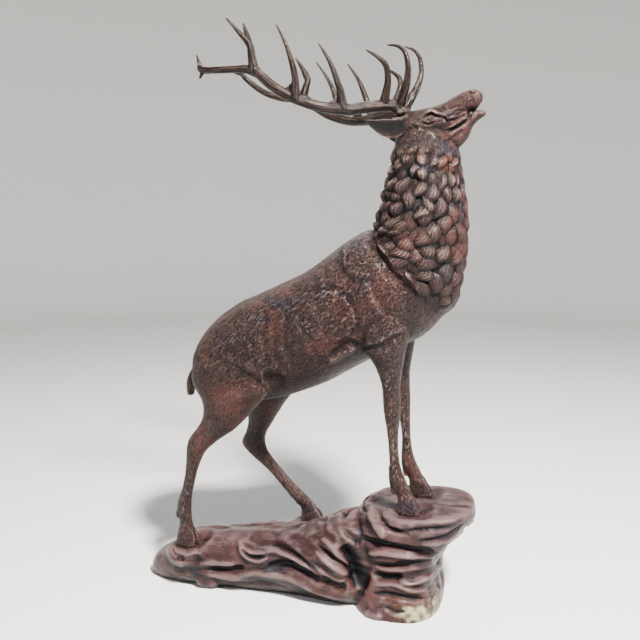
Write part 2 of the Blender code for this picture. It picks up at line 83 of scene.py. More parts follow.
def along(rows, count):
    """Even steps on a Catmull-Rom curve through the rows, column by column."""
    rows = np.asarray(rows, float)
    ends = np.vstack([2 * rows[0] - rows[1], rows, 2 * rows[-1] - rows[-2]])
    t = np.linspace(0, len(rows) - 1, count)
    k = np.minimum(t.astype(int), len(rows) - 2)
    f = (t - k)[:, None]
    a, b, c, d = ends[k], ends[k + 1], ends[k + 2], ends[k + 3]
    bend = (2 * a - 5 * b + 4 * c - d) * f ** 2 + (3 * b - a - 3 * c + d) * f ** 3
    return 0.5 * (2 * b + (c - a) * f + bend)


def skin(rings):
    """Closed tube over rings of points, (rings, sides, 3), with a fan to the middle of each end."""
    count, sides = rings.shape[:2]
    at = np.arange(count * sides).reshape(count, sides)
    turned = np.roll(at, -1, axis=1)
    walls = np.stack([at[:-1], turned[:-1], turned[1:], at[1:]], axis=-1).reshape(-1, 4)
    first, last = count * sides, count * sides + 1
    start = np.stack([turned[0], at[0], np.full(sides, first)], axis=-1)
    end = np.stack([at[-1], turned[-1], np.full(sides, last)], axis=-1)
    points = np.vstack([rings.reshape(-1, 3), rings[0].mean(axis=0), rings[-1].mean(axis=0)])
    return points, [walls, np.vstack([start, end])]


def sections(rows, sides=48, rings=80, mirror=1, square=1, lean=0):
    """Oval section at each step: middle + cos * half height + sin * half width across."""
    rows = np.asarray(rows, float)
    if rows.shape[1] == 5:
        rows = np.insert(rows, 4, 0, axis=1)
    p = along(rows, rings)
    first = np.stack([p[:, 0], mirror * p[:, 4], p[:, 1]], axis=1)
    second = np.stack([p[:, 2], mirror * p[:, 4], p[:, 3]], axis=1)
    angle = circle(sides)[None, :, None]
    across = p[:, 5][:, None, None] * (0, 1, -lean)
    half = ((first - second) / 2)[:, None, :]
    return skin(((first + second) / 2)[:, None, :] + power(np.cos(angle), square) * half
                + power(np.sin(angle), square) * across)


def ball(place, size, sides=24):
    """Ellipsoid: a circle of radius sin(t) carried up from -cos(t), scaled by its half sizes."""
    t = np.linspace(0.02, math.pi - 0.02, sides)[:, None]
    angle = circle(sides)[None, :]
    rings = np.stack([np.sin(t) * np.cos(angle), np.sin(t) * np.sin(angle),
                      -np.cos(t) * np.ones_like(angle)], axis=-1)
    return skin(rings * size + place)


def placed(name, data):
    """A new object with this data, in the scene."""
    obj = bpy.data.objects.new(name, data)
    bpy.context.scene.collection.objects.link(obj)
    return obj


def surface(name, points, faces):
    """A mesh object from points in centimetres and lists of faces."""
    mesh = bpy.data.meshes.new(name)
    mesh.from_pydata(points * CM, [], faces)
    mesh.validate()
    return placed(name, mesh)


def evaluated(obj):
    """Replace an object's mesh with the one that its modifiers make, and drop them."""
    graph = bpy.context.evaluated_depsgraph_get()
    made = bpy.data.meshes.new_from_object(obj.evaluated_get(graph), depsgraph=graph)
    obj.modifiers.clear()
    old, obj.data = obj.data, made
    bpy.data.meshes.remove(old)


def fused(shells, voxel):
    """One skin round all the shells: points, faces and edges of the voxel mesh of their union."""
    points, faces, start = [], [], 0
    for shell_points, shell_faces in shells:
        for some in shell_faces:
            faces.extend((some + start).tolist())
        points.append(shell_points)
        start += len(shell_points)
    obj = surface("fused", np.vstack(points), faces)
    fuse = obj.modifiers.new("fuse", "REMESH")
    fuse.mode = "VOXEL"
    fuse.voxel_size = voxel * CM
    evaluated(obj)
    mesh = obj.data
    co = np.zeros(len(mesh.vertices) * 3, np.float32)
    mesh.vertices.foreach_get("co", co)
    corners = np.zeros(len(mesh.loops), np.int32)
    mesh.loops.foreach_get("vertex_index", corners)
    edges = np.zeros(len(mesh.edges) * 2, np.int32)
    mesh.edges.foreach_get("vertices", edges)
    bpy.data.objects.remove(obj)
    bpy.data.meshes.remove(mesh)
    return co.reshape(-1, 3).astype(float) / CM, corners.reshape(-1, 4), edges.reshape(-1, 2)


def relax(values, edges, steps, back=0):
    """Each step moves every value half of the way to the mean of its neighbours, and then
    back by a share, which keeps thin forms from shrinking."""
    a, b = edges[:, 0], edges[:, 1]
    size = len(values)
    count = np.bincount(edges.ravel(), minlength=size)[:, None]
    values = values.reshape(size, -1)
    for share in [0.5, -back] * steps if back else [0.5] * steps:
        total = np.stack([np.bincount(a, values[b, i], size) + np.bincount(b, values[a, i], size)
                          for i in range(values.shape[1])], axis=1)
        values = values + share * (total / count - values)
    return values


def normals(co, faces):
    """Mean direction of the faces round each point, each face's the cross of its diagonals."""
    cross = np.cross(co[faces[:, 2]] - co[faces[:, 0]], co[faces[:, 3]] - co[faces[:, 1]])
    total = np.stack([np.bincount(faces.ravel(), np.repeat(cross[:, i], 4), len(co))
                      for i in range(3)], axis=1)
    return unit(total)


def scrambled(key):
    """Whole numbers from 0 to 65535 in no order, always the same for the same key."""
    key = key & 0x7FFFFFFF
    key = ((key ^ key >> 13) * 1274126177) & 0x7FFFFFFF
    return (key ^ key >> 16) & 0xFFFF


def cloud(place, size, seed=0):
    """Smooth random swells from -1 to 1: a value at each corner of a lattice, eased between."""
    q = place / np.asarray(size, float) + 17.31 * (seed + 1)
    base = np.floor(q).astype(np.int64)
    f = q - base
    f = f * f * (3 - 2 * f)
    total = np.zeros(len(place))
    for corner in range(8):
        offset = np.array([corner & 1, corner >> 1 & 1, corner >> 2])
        value = scrambled((base + offset) @ np.array(PRIMES)) / 32768 - 1
        total += value * np.prod(np.where(offset, f, 1 - f), axis=1)
    return total


def carved(x, z, lines):
    """Sum of strokes drawn in x and z, each with its reach, its relief, or that on the left
    and on the right, and its points. The relief goes with exp(-(distance / reach) squared),
    with a short blend across the line, and shrinks towards the stroke's ends."""
    total = np.zeros(len(x))
    for reach, relief, points in lines:
        left, right = np.broadcast_to(relief, 2)
        path = along(np.reshape(points, (-1, 2)), 5 * (len(points) // 2))
        off_x, off_z = np.abs(x - path[:, 0].mean()), np.abs(z - path[:, 1].mean())
        wide, high = np.ptp(path, axis=0) / 2 + 3 * reach + 2
        near = np.flatnonzero((off_x < wide) & (off_z < high))
        best = np.full(len(near), 1e9)
        side, place = np.zeros(len(near)), np.zeros(len(near))
        for i, ((ax, az), (bx, bz)) in enumerate(zip(path[:-1], path[1:])):
            dx, dz = bx - ax, bz - az
            px, pz = x[near] - ax, z[near] - az
            share = np.clip((px * dx + pz * dz) / (dx * dx + dz * dz + 1e-9), 0, 1)
            off = np.hypot(px - share * dx, pz - share * dz)
            closer = off < best
            best[closer] = off[closer]
            side[closer] = np.sign(dx * pz - dz * px)[closer]
            place[closer] = ((i + share) / (len(path) - 1))[closer]
        full = np.sqrt(np.clip(6 * place * (1 - place), 0.03, 1))
        here = reach * (0.45 + 0.55 * full)
        mix = 0.5 + 0.5 * np.tanh(side * best / (0.25 * reach))
        total[near] += full * (mix * left + (1 - mix) * right) * np.exp(-(best / here) ** 2)
    return total


def step(value, low, high):
    """0 below low, 1 above high, eased between."""
    t = np.clip((value - low) / (high - low), 0, 1)
    return t * t * (3 - 2 * t)


def cast(name, co, faces, edges, limit, marks):
    """The finished piece, of at most limit triangles, with marks at each point for its patina
    and its painted light and shade: crest and swell, how far it stands out from its smoothed
    near and wide surroundings, which turn crests pale and paint shade into hollows, and up, how
    far it faces upwards, which paints tops lighter and undersides darker."""
    out = normals(co, faces)
    near = relax(co, edges, 5)
    wide = relax(near, edges, 60)
    marks = dict(marks, crest=np.clip(((co - near) * out).sum(axis=1) / CREST, -3, 3),
                 swell=np.clip(((near - wide) * out).sum(axis=1) / SWELL, -3, 3), up=out[:, 2])
    obj = surface(name, co, faces)
    mesh = obj.data
    for mark, values in marks.items():
        layer = mesh.attributes.new(mark, "FLOAT", "POINT")
        layer.data.foreach_set("value", values.astype(np.float32))
    if 2 * len(faces) > limit:
        thin = obj.modifiers.new("thin", "DECIMATE")
        thin.ratio = limit / (2 * len(faces))
        thin.use_collapse_triangulate = True
        evaluated(obj)
    obj.data.polygons.foreach_set("use_smooth", np.ones(len(obj.data.polygons), bool))
    return obj


# The folds drawn on the right side: reach, relief, then x, z of each point
ROCK_LINES = [
    (1.7, 0.8, [-60.8, 18.6, -58.6, 14.3, -56.3, 11.4, -54.4, 9.8]),
    (2, -0.6, [-54.6, 19.3, -52.4, 16, -51.5, 12]),
    (1.1, -1.3, [-62, 15.6, -57.5, 14, -54, 13.6]),
    (1.5, -2.4, [-44.1, 9.4, -37.6, 10.1, -33.1, 10.5, -28, 12]),
    (1.4, 0.9, [-51.6, 10.2, -44.5, 12.1, -37.6, 12.5, -31.6, 12.9]),
    (1.1, 1.4, [-32.4, 20.8, -27.9, 18.7, -22.1, 18.2, -15.5, 19.5]),
    (1, 1.4, [-31.1, 19.2, -26.6, 16.2, -21.3, 15.6, -17.2, 17.5]),
    (0.6, -1, [-30.2, 18.9, -24.8, 16.9, -18.6, 17.8]),
    (1.4, -1.9, [-29.2, 22.6, -21.6, 22.4, -13.7, 22.4, -6.3, 20.3, 1.5, 16.9]),
    (1.2, 1.3, [-22.5, 20.6, -13.7, 20, -5, 18.2, 4.5, 13.9]),
    (2.3, -3.2, [-18, 13.6, -9.3, 15.4, -2.8, 14.4, 6.3, 11.6]),
    (1.4, 1.3, [-50.2, 8.6, -40.9, 7.1, -31.7, 7, -24, 10.4, -18.2, 10.2, -9.4, 10.2, -2.9, 8.5,
        5.7, 5.8, 16.3, 3.9]),
    (2, 1.8, [-50.3, 3.6, -45.7, 2.3, -40.5, 3.1]),
    (1.2, -0.7, [-40, 4.6, -30, 4.2, -20, 6, -8, 5.4]),
    (1.2, 1.7, [5.7, 28.3, 10.8, 26.8, 16.2, 21.9, 19.2, 17.2]),
    (0.8, -1.8, [4.5, 26, 10.8, 23.4, 16.2, 19.8, 18.8, 16.3]),
    (1, 1.4, [3.6, 23.7, 10, 20.2, 15, 17.5, 18.3, 15.8]),
    (0.9, 1, [2.3, 19.2, 7.9, 15.6, 12.9, 12.9, 17.1, 13.5]),
    (2.6, -2.8, [6, 13, 12.1, 10.9, 17.3, 9]),
    (2.9, -5.4, [15.2, 28.4, 18.6, 22, 21, 15.6, 21.8, 8.2]),
    (1, -1.2, [14.5, 33, 18, 31.2, 20.6, 29.4, 21.5, 27.4]),
    (1.8, 1.4, [23.5, 40, 26.4, 37.6, 30.5, 34.3, 31.7, 32]),
    (0.8, -1.2, [28.6, 40.4, 33.3, 37.1, 42.4, 35.4]),
    (0.8, -1, [31.2, 36.5, 37.2, 36.4, 44.3, 37.5, 52.1, 38.4, 57.8, 39.3]),
    (1.1, 0.7, [35, 39.5, 43, 39.8, 52, 40.6, 60, 41.4]),
    (0.8, -1, [45.2, 33.2, 52.2, 34.1, 57.9, 36.3, 62.3, 38.8]),
    (0.9, 0.9, [46.4, 31.3, 53, 32.2, 58.7, 34.3]),
    (1.9, -3, [22.4, 30.4, 29.3, 29.1, 36.6, 28.8, 44.5, 27.8, 51.4, 27.3]),
    (1.4, 1.6, [24.5, 24.3, 31.4, 26.1, 38.6, 26.2, 45.5, 25.3]),
    (0.9, -1.3, [26.6, 20.3, 34.7, 20.6, 42.6, 22.4, 50.3, 23.3]),
    (1.2, 0.8, [28, 18.6, 36, 18.6, 44, 19.8, 51, 20.6]),
    (1.7, -2.4, [26.9, 16.2, 33.5, 15.6, 39.7, 16.4]),
    (1, 1.6, [37.5, 15.5, 42.8, 14.2, 49.7, 15.9]),
    (1.1, 1.5, [28.5, 12.3, 35.6, 13.6, 41.6, 11.9, 47.8, 11]),
    (0.9, -1.2, [27.5, 8.9, 33.6, 9.9, 40.9, 9.3, 48.6, 8]),
    (1.9, 1.4, [24.7, 1.6, 28.8, 1.1, 32.9, 2.1]),
    (1, -0.8, [33, 5.4, 38, 4, 42, 4.4]),
    (0.8, -0.9, [51.3, 24.5, 51.9, 20, 52.8, 15, 52.3, 9])]


def rock_relief(co):
    """Broad folds that lean over one another: the sine of a height that clouds and a bend push
    about, strong on the left side and faint under the drawn folds of the right side."""
    x, y, z = co.T
    warp = 6.5 * cloud(co, (19, 34, 10), 1) + 2.6 * cloud(co, (8, 13, 6), 2)
    bend = 7.5 * np.tanh((x - 12) / 9) * (1 - step(x, 24, 36))
    turn = 2 * math.pi * (z - 0.45 * np.abs(y) + bend + warp) / FOLD_PITCH
    fold = np.sin(turn + 0.7 * np.cos(turn))
    strength = np.clip(0.55 + 0.75 * cloud(co, (13, 20, 7), 3), 0.1, 1.2)
    fine = np.sin(2.7 * turn + 3 * cloud(co, (6, 10, 3), 4))
    end = step(x, -70, -60) * (0.35 + 0.65 * step(z, 2, 7))
    quiet = end * (1 - 0.85 * step(z, 38.5, 41.5) * step(x, 18, 26))
    right = step(-y, 3, 9)
    relief = quiet * ((strength * fold + 0.22 * strength * fine) * (1 - 0.75 * right)
                      + 0.4 * cloud(co, 4, 12))
    drawn = carved(x - np.where(y > 0, 5, 0), z, ROCK_LINES)
    return relief + drawn * np.where(y > 0, 0.55 * step(y, 6, 11), right)


def past_hoof(co, toe, heel, at):
    """How far each point lies outside a hoof's outline, in x and in y."""
    return (np.abs(co[:, 0] - (toe + heel) / 2) - (toe - heel) / 2,
            np.abs(co[:, 1] - at) - HOOF_HALF)


def on_pads(co, out_of):
    """Flat ground at each sole's height under its hoof, which eases into the rock round it."""
    for toe, heel, sole, at in HOOVES:
        past = np.array(past_hoof(co, toe, heel, at))
        beyond = np.hypot(*np.maximum(past - PAD_MARGIN, 0))
        top = sole - SEAT_GAP / 2
        upward = step(out_of[:, 2], 0, 0.4) * (np.abs(co[:, 2] - sole) < 6)
        share = np.where(beyond <= 0, 1, upward * (1 - step(beyond, 0, 6)))
        share = np.where(np.abs(co[:, 2] - sole) < 3.5, share, upward * share)
        inside = (co[:, 2] > sole - 3.5) & (co[:, 2] < sole + 8)
        co[:, 2] += np.where(inside, share, 0) * (top - co[:, 2])
    return co


shells = [sections(LOW_ROCK, sides=96, rings=140, square=0.75, lean=LOW_ROCK_LEAN),
          sections(LEDGE, sides=120, rings=70, square=0.75)]
shells += [ball(((toe + heel) / 2, at, sole - 4.2), ((toe - heel) / 2 + 5, HOOF_HALF + 5, 5.4))
           for toe, heel, sole, at in HOOVES]
co, faces, edges = fused(shells, ROCK_VOXEL)
co = relax(co, edges, 6)
co = co + normals(co, faces) * rock_relief(co)[:, None]
co = relax(co, edges, 1)
co = on_pads(co, normals(co, faces))
co[:, 2] = np.maximum(co[:, 2], 0)
lime = np.exp(-((co[:, 0] - 46) / 8) ** 2 - ((co[:, 2] - 3) / 4.4) ** 2) * step(-co[:, 1], 2, 8)
lime *= 0.85 + 0.5 * cloud(co, 2.2, 14)
cleft = np.exp(-((co[:, 0] - 23.5 + 0.22 * co[:, 2]) / 3) ** 2 - ((co[:, 2] - 17) / 10) ** 4)
cleft *= step(-co[:, 1], 8, 14)
rock = cast("rock", co, faces, edges, ROCK_TRIANGLES, {"stain_and_bounce_light": lime, "shade": cleft})


def feed(tree, socket, value):
    """Link a (node, output) pair to the socket, or give it the value, a colour with alpha 1."""
    if isinstance(value, tuple) and hasattr(value[0], "outputs"):
        tree.links.new(value[0].outputs[value[1]], socket)
    else:
        socket.default_value = (*value, 1) if socket.type == "RGBA" else value


def node(tree, kind, **inputs):
    """A shader node with its inputs fed by name, or by x and their number."""
    made = tree.nodes.new("ShaderNode" + kind)
    for key, value in inputs.items():
        feed(tree, made.inputs[int(key[1:]) if key[1:].isdigit() else key.replace("_", " ")], value)
    return made


def blend(tree, share, low, high, kind="FLOAT"):
    """Mix by share of two values, or of two colours where kind is RGBA."""
    made = node(tree, "Mix")
    made.data_type = kind
    first = 6 if kind == "RGBA" else 2
    for at, value in ((0, share), (first, low), (first + 1, high)):
        feed(tree, made.inputs[at], value)
    return made, 2 if kind == "RGBA" else 0


def ramp(tree, source, low, high, ends=(0, 1)):
    """From one end to the other, eased, as source goes from low to high."""
    made = node(tree, "MapRange", x0=source, x1=low, x2=high, x3=ends[0], x4=ends[1])
    made.interpolation_type = "SMOOTHSTEP"
    return made, 0


def speckle(tree, scale, stretch=(1, 1, 1), turn=(0, 0, 0), distort=0):
    """Noise on the object's own coordinates, turned and then stretched."""
    coords = node(tree, "TexCoord")
    place = node(tree, "Mapping", Vector=(coords, "Object"), Rotation=turn)
    scaled = node(tree, "Mapping", Vector=(place, 0), Scale=stretch)
    return node(tree, "TexNoise", Vector=(scaled, 0), Scale=scale, Detail=3,
                Roughness=0.6, Distortion=distort), 0


def marked(tree, mark):
    """The value that the mesh carries at each point under this name."""
    made = node(tree, "Attribute")
    made.attribute_name = mark
    return made, "Fac"


def sums(tree, *terms):
    """Sum of each (node, output) pair times its factor."""
    total = 0
    for source, factor in terms:
        made = node(tree, "Math", x0=source, x1=factor, x2=total)
        made.operation = "MULTIPLY_ADD"
        total = made, 0
    return total


def bronze(name, dark, body, tints, pale, shine, strokes, stain_and_bounce_light, up):
    """Patinated bronze: dark patina and painted shade in the hollows and where a piece marks
    shade, cloudy tints over the body colour, and pale rubbed metal with a painted highlight on
    the crests and on the tops of the strokes, a function of the tree that returns their height
    and depth; what faces up is painted paler and what faces down darker, as if lit from above.
    Each tint has its colour, scale and bounds; shine is the roughness in the hollows and on
    the crests."""
    made = bpy.data.materials.new(name)
    made.use_nodes = True
    tree = made.node_tree
    shader = tree.nodes["Principled BSDF"]
    hair, depth = strokes(tree)
    grain = ramp(tree, speckle(tree, 300), 0.4, 0.68)
    colour = body
    for tint, scale, low, high in tints:
        colour = blend(tree, ramp(tree, speckle(tree, scale), low, high), colour, tint, "RGBA")
    # Stains where a piece marks them; on the stag this mark paints reddish bounce light on the
    # throat and chest
    spread = sums(tree, (marked(tree, "stain_and_bounce_light"), 1), (speckle(tree, 45), 0.9))
    colour = blend(tree, ramp(tree, spread, 0.75, 1.3), colour, stain_and_bounce_light, "RGBA")
    # How raised each point is, with painted light from above on what faces up, painted shade on what
    # faces down and painted shade where the piece marks shade
    raised_and_lit = sums(tree, (hair, 0.56), (marked(tree, "crest"), 0.16), (marked(tree, "swell"), 0.36),
                  (marked(tree, "up"), up), (grain, 0.24), (marked(tree, "shade"), -0.45))
    # Dark patina and painted shade where that sum is low, pale rubbed metal and painted highlight
    # where it is high
    colour = blend(tree, ramp(tree, raised_and_lit, 0.06, 0.5), dark, colour, "RGBA")
    colour = blend(tree, ramp(tree, raised_and_lit, 0.56, 1.12), colour, pale, "RGBA")
    fine = node(tree, "Bump", Height=grain, Distance=0.0006)
    bump = node(tree, "Bump", Height=hair, Distance=depth, Normal=(fine, 0))
    for socket, value in {"Base Color": colour, "Roughness": ramp(tree, raised_and_lit, 0.1, 0.8, shine),
                          "Normal": (bump, 0), "Metallic": 0.12, "Coat Weight": 0.02,
                          "Coat Roughness": 0.18, "Specular IOR Level": 0.18}.items():
        feed(tree, shader.inputs[socket], value)
    return made


def rock_grain(tree):
    """Faint lumps left by the modeller's fingers."""
    return ramp(tree, speckle(tree, 26, (0.6, 1, 1.6)), 0.1, 0.9), 0.003


# Painted light and shade on the rock: what faces up, such as the ledge top, is paler, the undersides
# and hollows darker, and the cleft painted dark with shade
rock_patina = bronze("rock_patina", (0.0012, 0.001, 0.0025), (0.024, 0.0105, 0.0105),
                     [((0.055, 0.0235, 0.0225), 5, 0.45, 0.62),
                      ((0.013, 0.008, 0.014), 9, 0.52, 0.66),
                      ((0.036, 0.0145, 0.007), 3.5, 0.58, 0.72)],
                     (0.112, 0.071, 0.071), (0.38, 0.14), rock_grain, (0.42, 0.39, 0.24), up=0.36)
rock.data.materials.append(rock_patina)
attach(rock, "root")
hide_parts("rock_base")

# The stag: one hollow bronze casting, head raised and mouth open, its mane modelled as
# overlapping pointed tufts and its coat as short strokes. Brown patina under wax, rubbed pale
# and painted with highlights on the crests, painted shade in the hollows, painted lighter on
# top and darker underneath, and a painted reddish bounce light on the throat and chest; it
# stands on the rock on its four hooves.
TORSO = [(-56.2, 97, -55.5, 88, 4), (-53.2, 106, -51, 84, 12), (-46.2, 114.9, -42, 80, 16.5),
    (-35.7, 122.6, -30, 80, 18.5), (-25.6, 127.2, -18.5, 82.2, 19.2), (-15.3, 132, -9, 85.4, 20),
    (-4.3, 137.4, 3, 90.4, 20.5), (6.4, 145.3, 12, 95.5, 20.5), (15, 151.3, 22, 101.3, 19.5),
    (22, 154, 33, 106.5, 18.5), (30, 151, 44, 112.5, 16), (42, 145, 52, 122, 11),
    (49, 140, 54, 130, 4)]
NECK = [(16, 139, 44, 115.5, 11), (19, 148, 54.6, 123.5, 15.5), (22, 152.5, 57.7, 134, 17),
    (24.6, 158.5, 59.2, 146, 17), (26.6, 165.5, 59.4, 157, 16), (28.4, 173, 58.4, 167, 14.5),
    (29.6, 180, 56.6, 176, 13), (30.6, 187, 56, 183, 11.5), (32, 193, 54.5, 188, 10),
    (34.6, 197.2, 51.2, 191.6, 8.2)]
SKULL = [(30, 193.5, 32, 189, 3), (33.5, 198.2, 38, 186, 8), (38, 199.8, 44, 187, 9.2),
    (44, 200.9, 49, 190, 8.5), (48.7, 202.1, 53.5, 193, 6.8), (52.4, 204.1, 56.7, 196.5, 5.4),
    (56.3, 206, 59.3, 198.5, 4.7), (59, 206.8, 61.2, 199.3, 4.6), (61.3, 206.9, 62.4, 200.3, 4.3),
    (63.4, 205.7, 63.1, 201.6, 3.2), (64.1, 204.6, 63.9, 202.7, 1.8)]
JAW = [(43, 193, 46, 184, 5), (49, 193.5, 54.5, 185, 5.4), (54.5, 194.5, 58.8, 189, 4.2),
    (58.3, 197, 60.7, 193.5, 3.4), (61.4, 199, 63, 195.8, 3.2), (64.3, 199.2, 64.8, 197, 2.4),
    (65.3, 198.7, 65.4, 197.6, 1.2)]
TAIL = [(-51, 100, -54, 101, 2.5), (-53.5, 94, -57.5, 95, 3.2), (-56.5, 87.5, -61.3, 87.5, 3),
    (-58.5, 80.5, -61.5, 80.5, 1.5)]
# The top of both fore legs, inside the shoulder; then each leg with its side
SHOULDER = [(38, 133, 18, 133, 8, 5), (40, 120, 18.5, 118, 10, 7.5), (38.5, 110, 21.5, 107.5, 11, 7)]
LEGS = [
    (-1, [(-20, 110, -42, 113, 8, 6), (-17.5, 98, -50, 102, 10, 8.5),
        (-19, 88, -52.8, 91, 11.5, 8.5), (-25.5, 79, -48.2, 82, 12.5, 7.5),
        (-33, 71, -47.6, 75.5, 13.5, 5.8), (-41, 65.2, -50, 70.5, 14, 4.2),
        (-46.6, 60, -54.5, 64.5, 14, 3.4), (-49.6, 54.6, -55.6, 58, 14, 3),
        (-51.8, 47.7, -56.4, 50, 14, 2.4), (-53.7, 39.7, -58.5, 41.5, 14, 2.2),
        (-54.3, 33.5, -60.8, 34.5, 14, 2.7), (-54.1, 28.5, -59.8, 28.3, 14, 2.3),
        (-53.2, 24.5, -60, 24.5, 14, 2.7)]),
    (1, [(-16, 108, -38, 112, 8, 6), (-13, 95, -47, 100, 10, 8.5), (-15, 84, -47, 88, 11.5, 8.5),
        (-20.5, 76, -41, 78, 12.5, 7), (-26.2, 67, -37.8, 69, 13.5, 4.5),
        (-29.5, 61.5, -39, 62.2, 14, 3.6), (-30.1, 57.5, -41.2, 56, 14, 3.2),
        (-28.5, 52.5, -37, 51, 14, 2.8), (-23.5, 46.4, -29, 44.7, 14, 2.4),
        (-17, 39.5, -22.2, 37.5, 14, 2.2), (-11, 34.2, -15.5, 30.5, 14, 2.7),
        (-6.8, 30.5, -13.5, 28.5, 14, 2.4), (-5, 28, -12.6, 26.5, 14, 2.8)]),
    (-1, [*SHOULDER, (37.2, 102, 25.7, 101, 11, 5.5), (36.1, 93, 28.7, 93, 11, 4.2),
        (36.4, 83, 29.6, 83, 11, 3.5), (35.7, 74.5, 31, 74.5, 11, 2.7),
        (35.7, 67, 31.9, 67, 11, 2.2), (36.7, 60, 32.3, 59.5, 11, 2.2),
        (38.5, 55.5, 32.6, 53, 11, 2.6), (40.2, 51.5, 35, 48.8, 11, 2.4),
        (41.6, 48.8, 35.8, 46.8, 11, 2.8)]),
    (1, [*SHOULDER, (37.5, 103, 25.7, 101, 11, 5.5), (36.3, 94, 29, 93, 11, 4.2),
        (36.7, 83, 30, 83, 11, 3.5), (36.8, 74.5, 32.2, 74.5, 11, 2.7),
        (37.1, 67, 33.3, 67, 11, 2.2), (38, 60, 33.4, 60, 11, 2.2), (39.5, 55.5, 33.6, 53, 11, 2.6),
        (41.5, 51.5, 36, 49, 11, 2.4), (42.9, 48.8, 36.8, 46.8, 11, 2.8)])]
PEDICLE = [(36.5, 3.4, 196, 3.2), (35.4, 3.9, 197.6, 2.8), (33.9, 4.7, 199.4, 2.6)]
# Ear, root to tip: x, side, z, half height, depth of its hollow
EAR = [(38.2, 5.6, 195, 1.7, 0.2), (35.6, 7.8, 193.5, 2.9, 0.7), (32.4, 9.8, 192.3, 3.5, 0.9),
    (28.2, 11.8, 192.5, 3.2, 1), (24.7, 13.2, 193.6, 1.8, 0.9), (21.6, 14.4, 195.2, 0.35, 0.1)]
# What fills the cheek between skull and jaw, behind the open mouth
CHEEK = [(46, 199, 49, 188, 6.4), (51, 199.5, 54.5, 190.5, 5.2), (55.2, 200.5, 57.6, 193.5, 4.2),
    (57.6, 200.6, 59.2, 195.6, 3.5), (58.8, 199.8, 59.6, 197.2, 2.4)]
FACE = [((44.9, 7.7, 195.7), (1.45, 1, 1.1)), ((46, 7, 198), (3, 1.4, 0.9)),
    ((48.6, 6.2, 194.9), (2.6, 1.2, 1.2)), ((61.6, 2.9, 204.5), (1.2, 1.3, 1.2)),
    ((34.4, 5, 196), (4.2, 3.2, 2.8))]
# Each dewclaw's top and its low end: x, z; legs in the order of LEGS
DEWCLAWS = [((-58, 41), (-61.7, 29.2)), ((-21, 37.4), (-15.6, 29.6)), ((31.9, 60), (33, 48.6)),
    ((33.3, 60), (34.2, 48.8))]
SEAT = ((34.6, 4.2, 198.2), (32.6, 5.4, 200.2))
STAG_VOXEL = 0.3
STAG_TRIANGLES = 198000
# How wide one strand of a tuft is
STRAND = 1.25


def branch(rows, mirror=1, sides=20, rings=60):
    """Round tube along rows of x, side, z and radius: the path plus a turning circle."""
    p = along(rows, rings)
    path = p[:, :3] * (1, mirror, 1)
    tangent = unit(np.gradient(path, axis=0))
    side = unit(np.cross(tangent, (0, 1, 0)))
    other = np.cross(tangent, side)
    angle = circle(sides)[None, :, None]
    ring = np.cos(angle) * side[:, None, :] + np.sin(angle) * other[:, None, :]
    return skin(path[:, None, :] + np.maximum(p[:, 3], 0.05)[:, None, None] * ring)


def ear(mirror):
    """A leaf bent to a cup: across it the middle lies back by the hollow times 1 - v squared,
    and the two faces are a wall apart that thins to the rim."""
    p = along(EAR, 60)
    path = p[:, :3] * (1, mirror, 1)
    out = (0.6, mirror * 0.8, 0)
    half, depth = p[:, 3][:, None], p[:, 4][:, None]
    v, face = np.cos(circle(48))[None, :], np.sin(circle(48))[None, :]
    wall = 0.55 * power(face, 0.5) * np.clip(half / 1.5, 0.4, 1)
    back = -depth * (1 - v ** 2) + wall
    points = path[:, None, :] + half[..., None] * v[..., None] * (0, 0, 1)
    return skin(points + back[..., None] * out)


def hoof(spot, leg, dewclaw):
    """Two claws that run from the pastern down to the sole, and a blunt spur behind it."""
    toe, heel, sole, at = spot
    front, front_z, rear, rear_z = leg[-1][:4]
    mirror, side = np.sign(at), abs(at)
    (top_x, top_z), (low_x, low_z) = dewclaw
    spur = [(top_x + 2.2, top_z, top_x, top_z, side, 0.8),
            ((top_x + low_x) / 2 + 3, (top_z + low_z) / 2, (top_x + low_x) / 2 - 0.4,
             (top_z + low_z) / 2, side, 1.5),
            (low_x + 3.8, low_z + 1.2, low_x, low_z + 1.2, side, 1.9),
            (low_x + 3.8, low_z, low_x + 0.3, low_z, side, 1.8)]
    made = [sections(spur, sides=24, rings=24, mirror=mirror)]
    for inner in (-1, 1):
        rows = [(front, front_z, rear, rear_z, side + inner * 1.1, 1.6),
                (front + 0.65 * (toe - front), sole + 3.6, rear + 0.6 * (heel - rear), sole + 3.4,
                 side + inner * 1.6, 1.8),
                (toe - 0.3, sole + 1.3, heel, sole + 1.2, side + inner * 1.9, 1.85),
                (toe, sole, heel, sole, side + inner * 1.95, 1.85),
                (toe, sole - 1.5, heel, sole - 1.5, side + inner * 1.95, 1.8)]
        made.append(sections(rows, sides=24, rings=40, mirror=mirror))
    return made


# Swells and hollows of each flank: x, z, reach, relief
MUSCLES = [(24, 137, 11, 1.3), (30, 121, 10, 1.2), (3, 117, 11, 0.7), (-13, 108, 7, -0.8),
    (15, 124, 6, -0.7), (-33, 106, 13, 1.3), (-24, 120, 8, 1.1), (-50, 96, 7, 0.6),
    (-17, 118, 4, -0.7)]
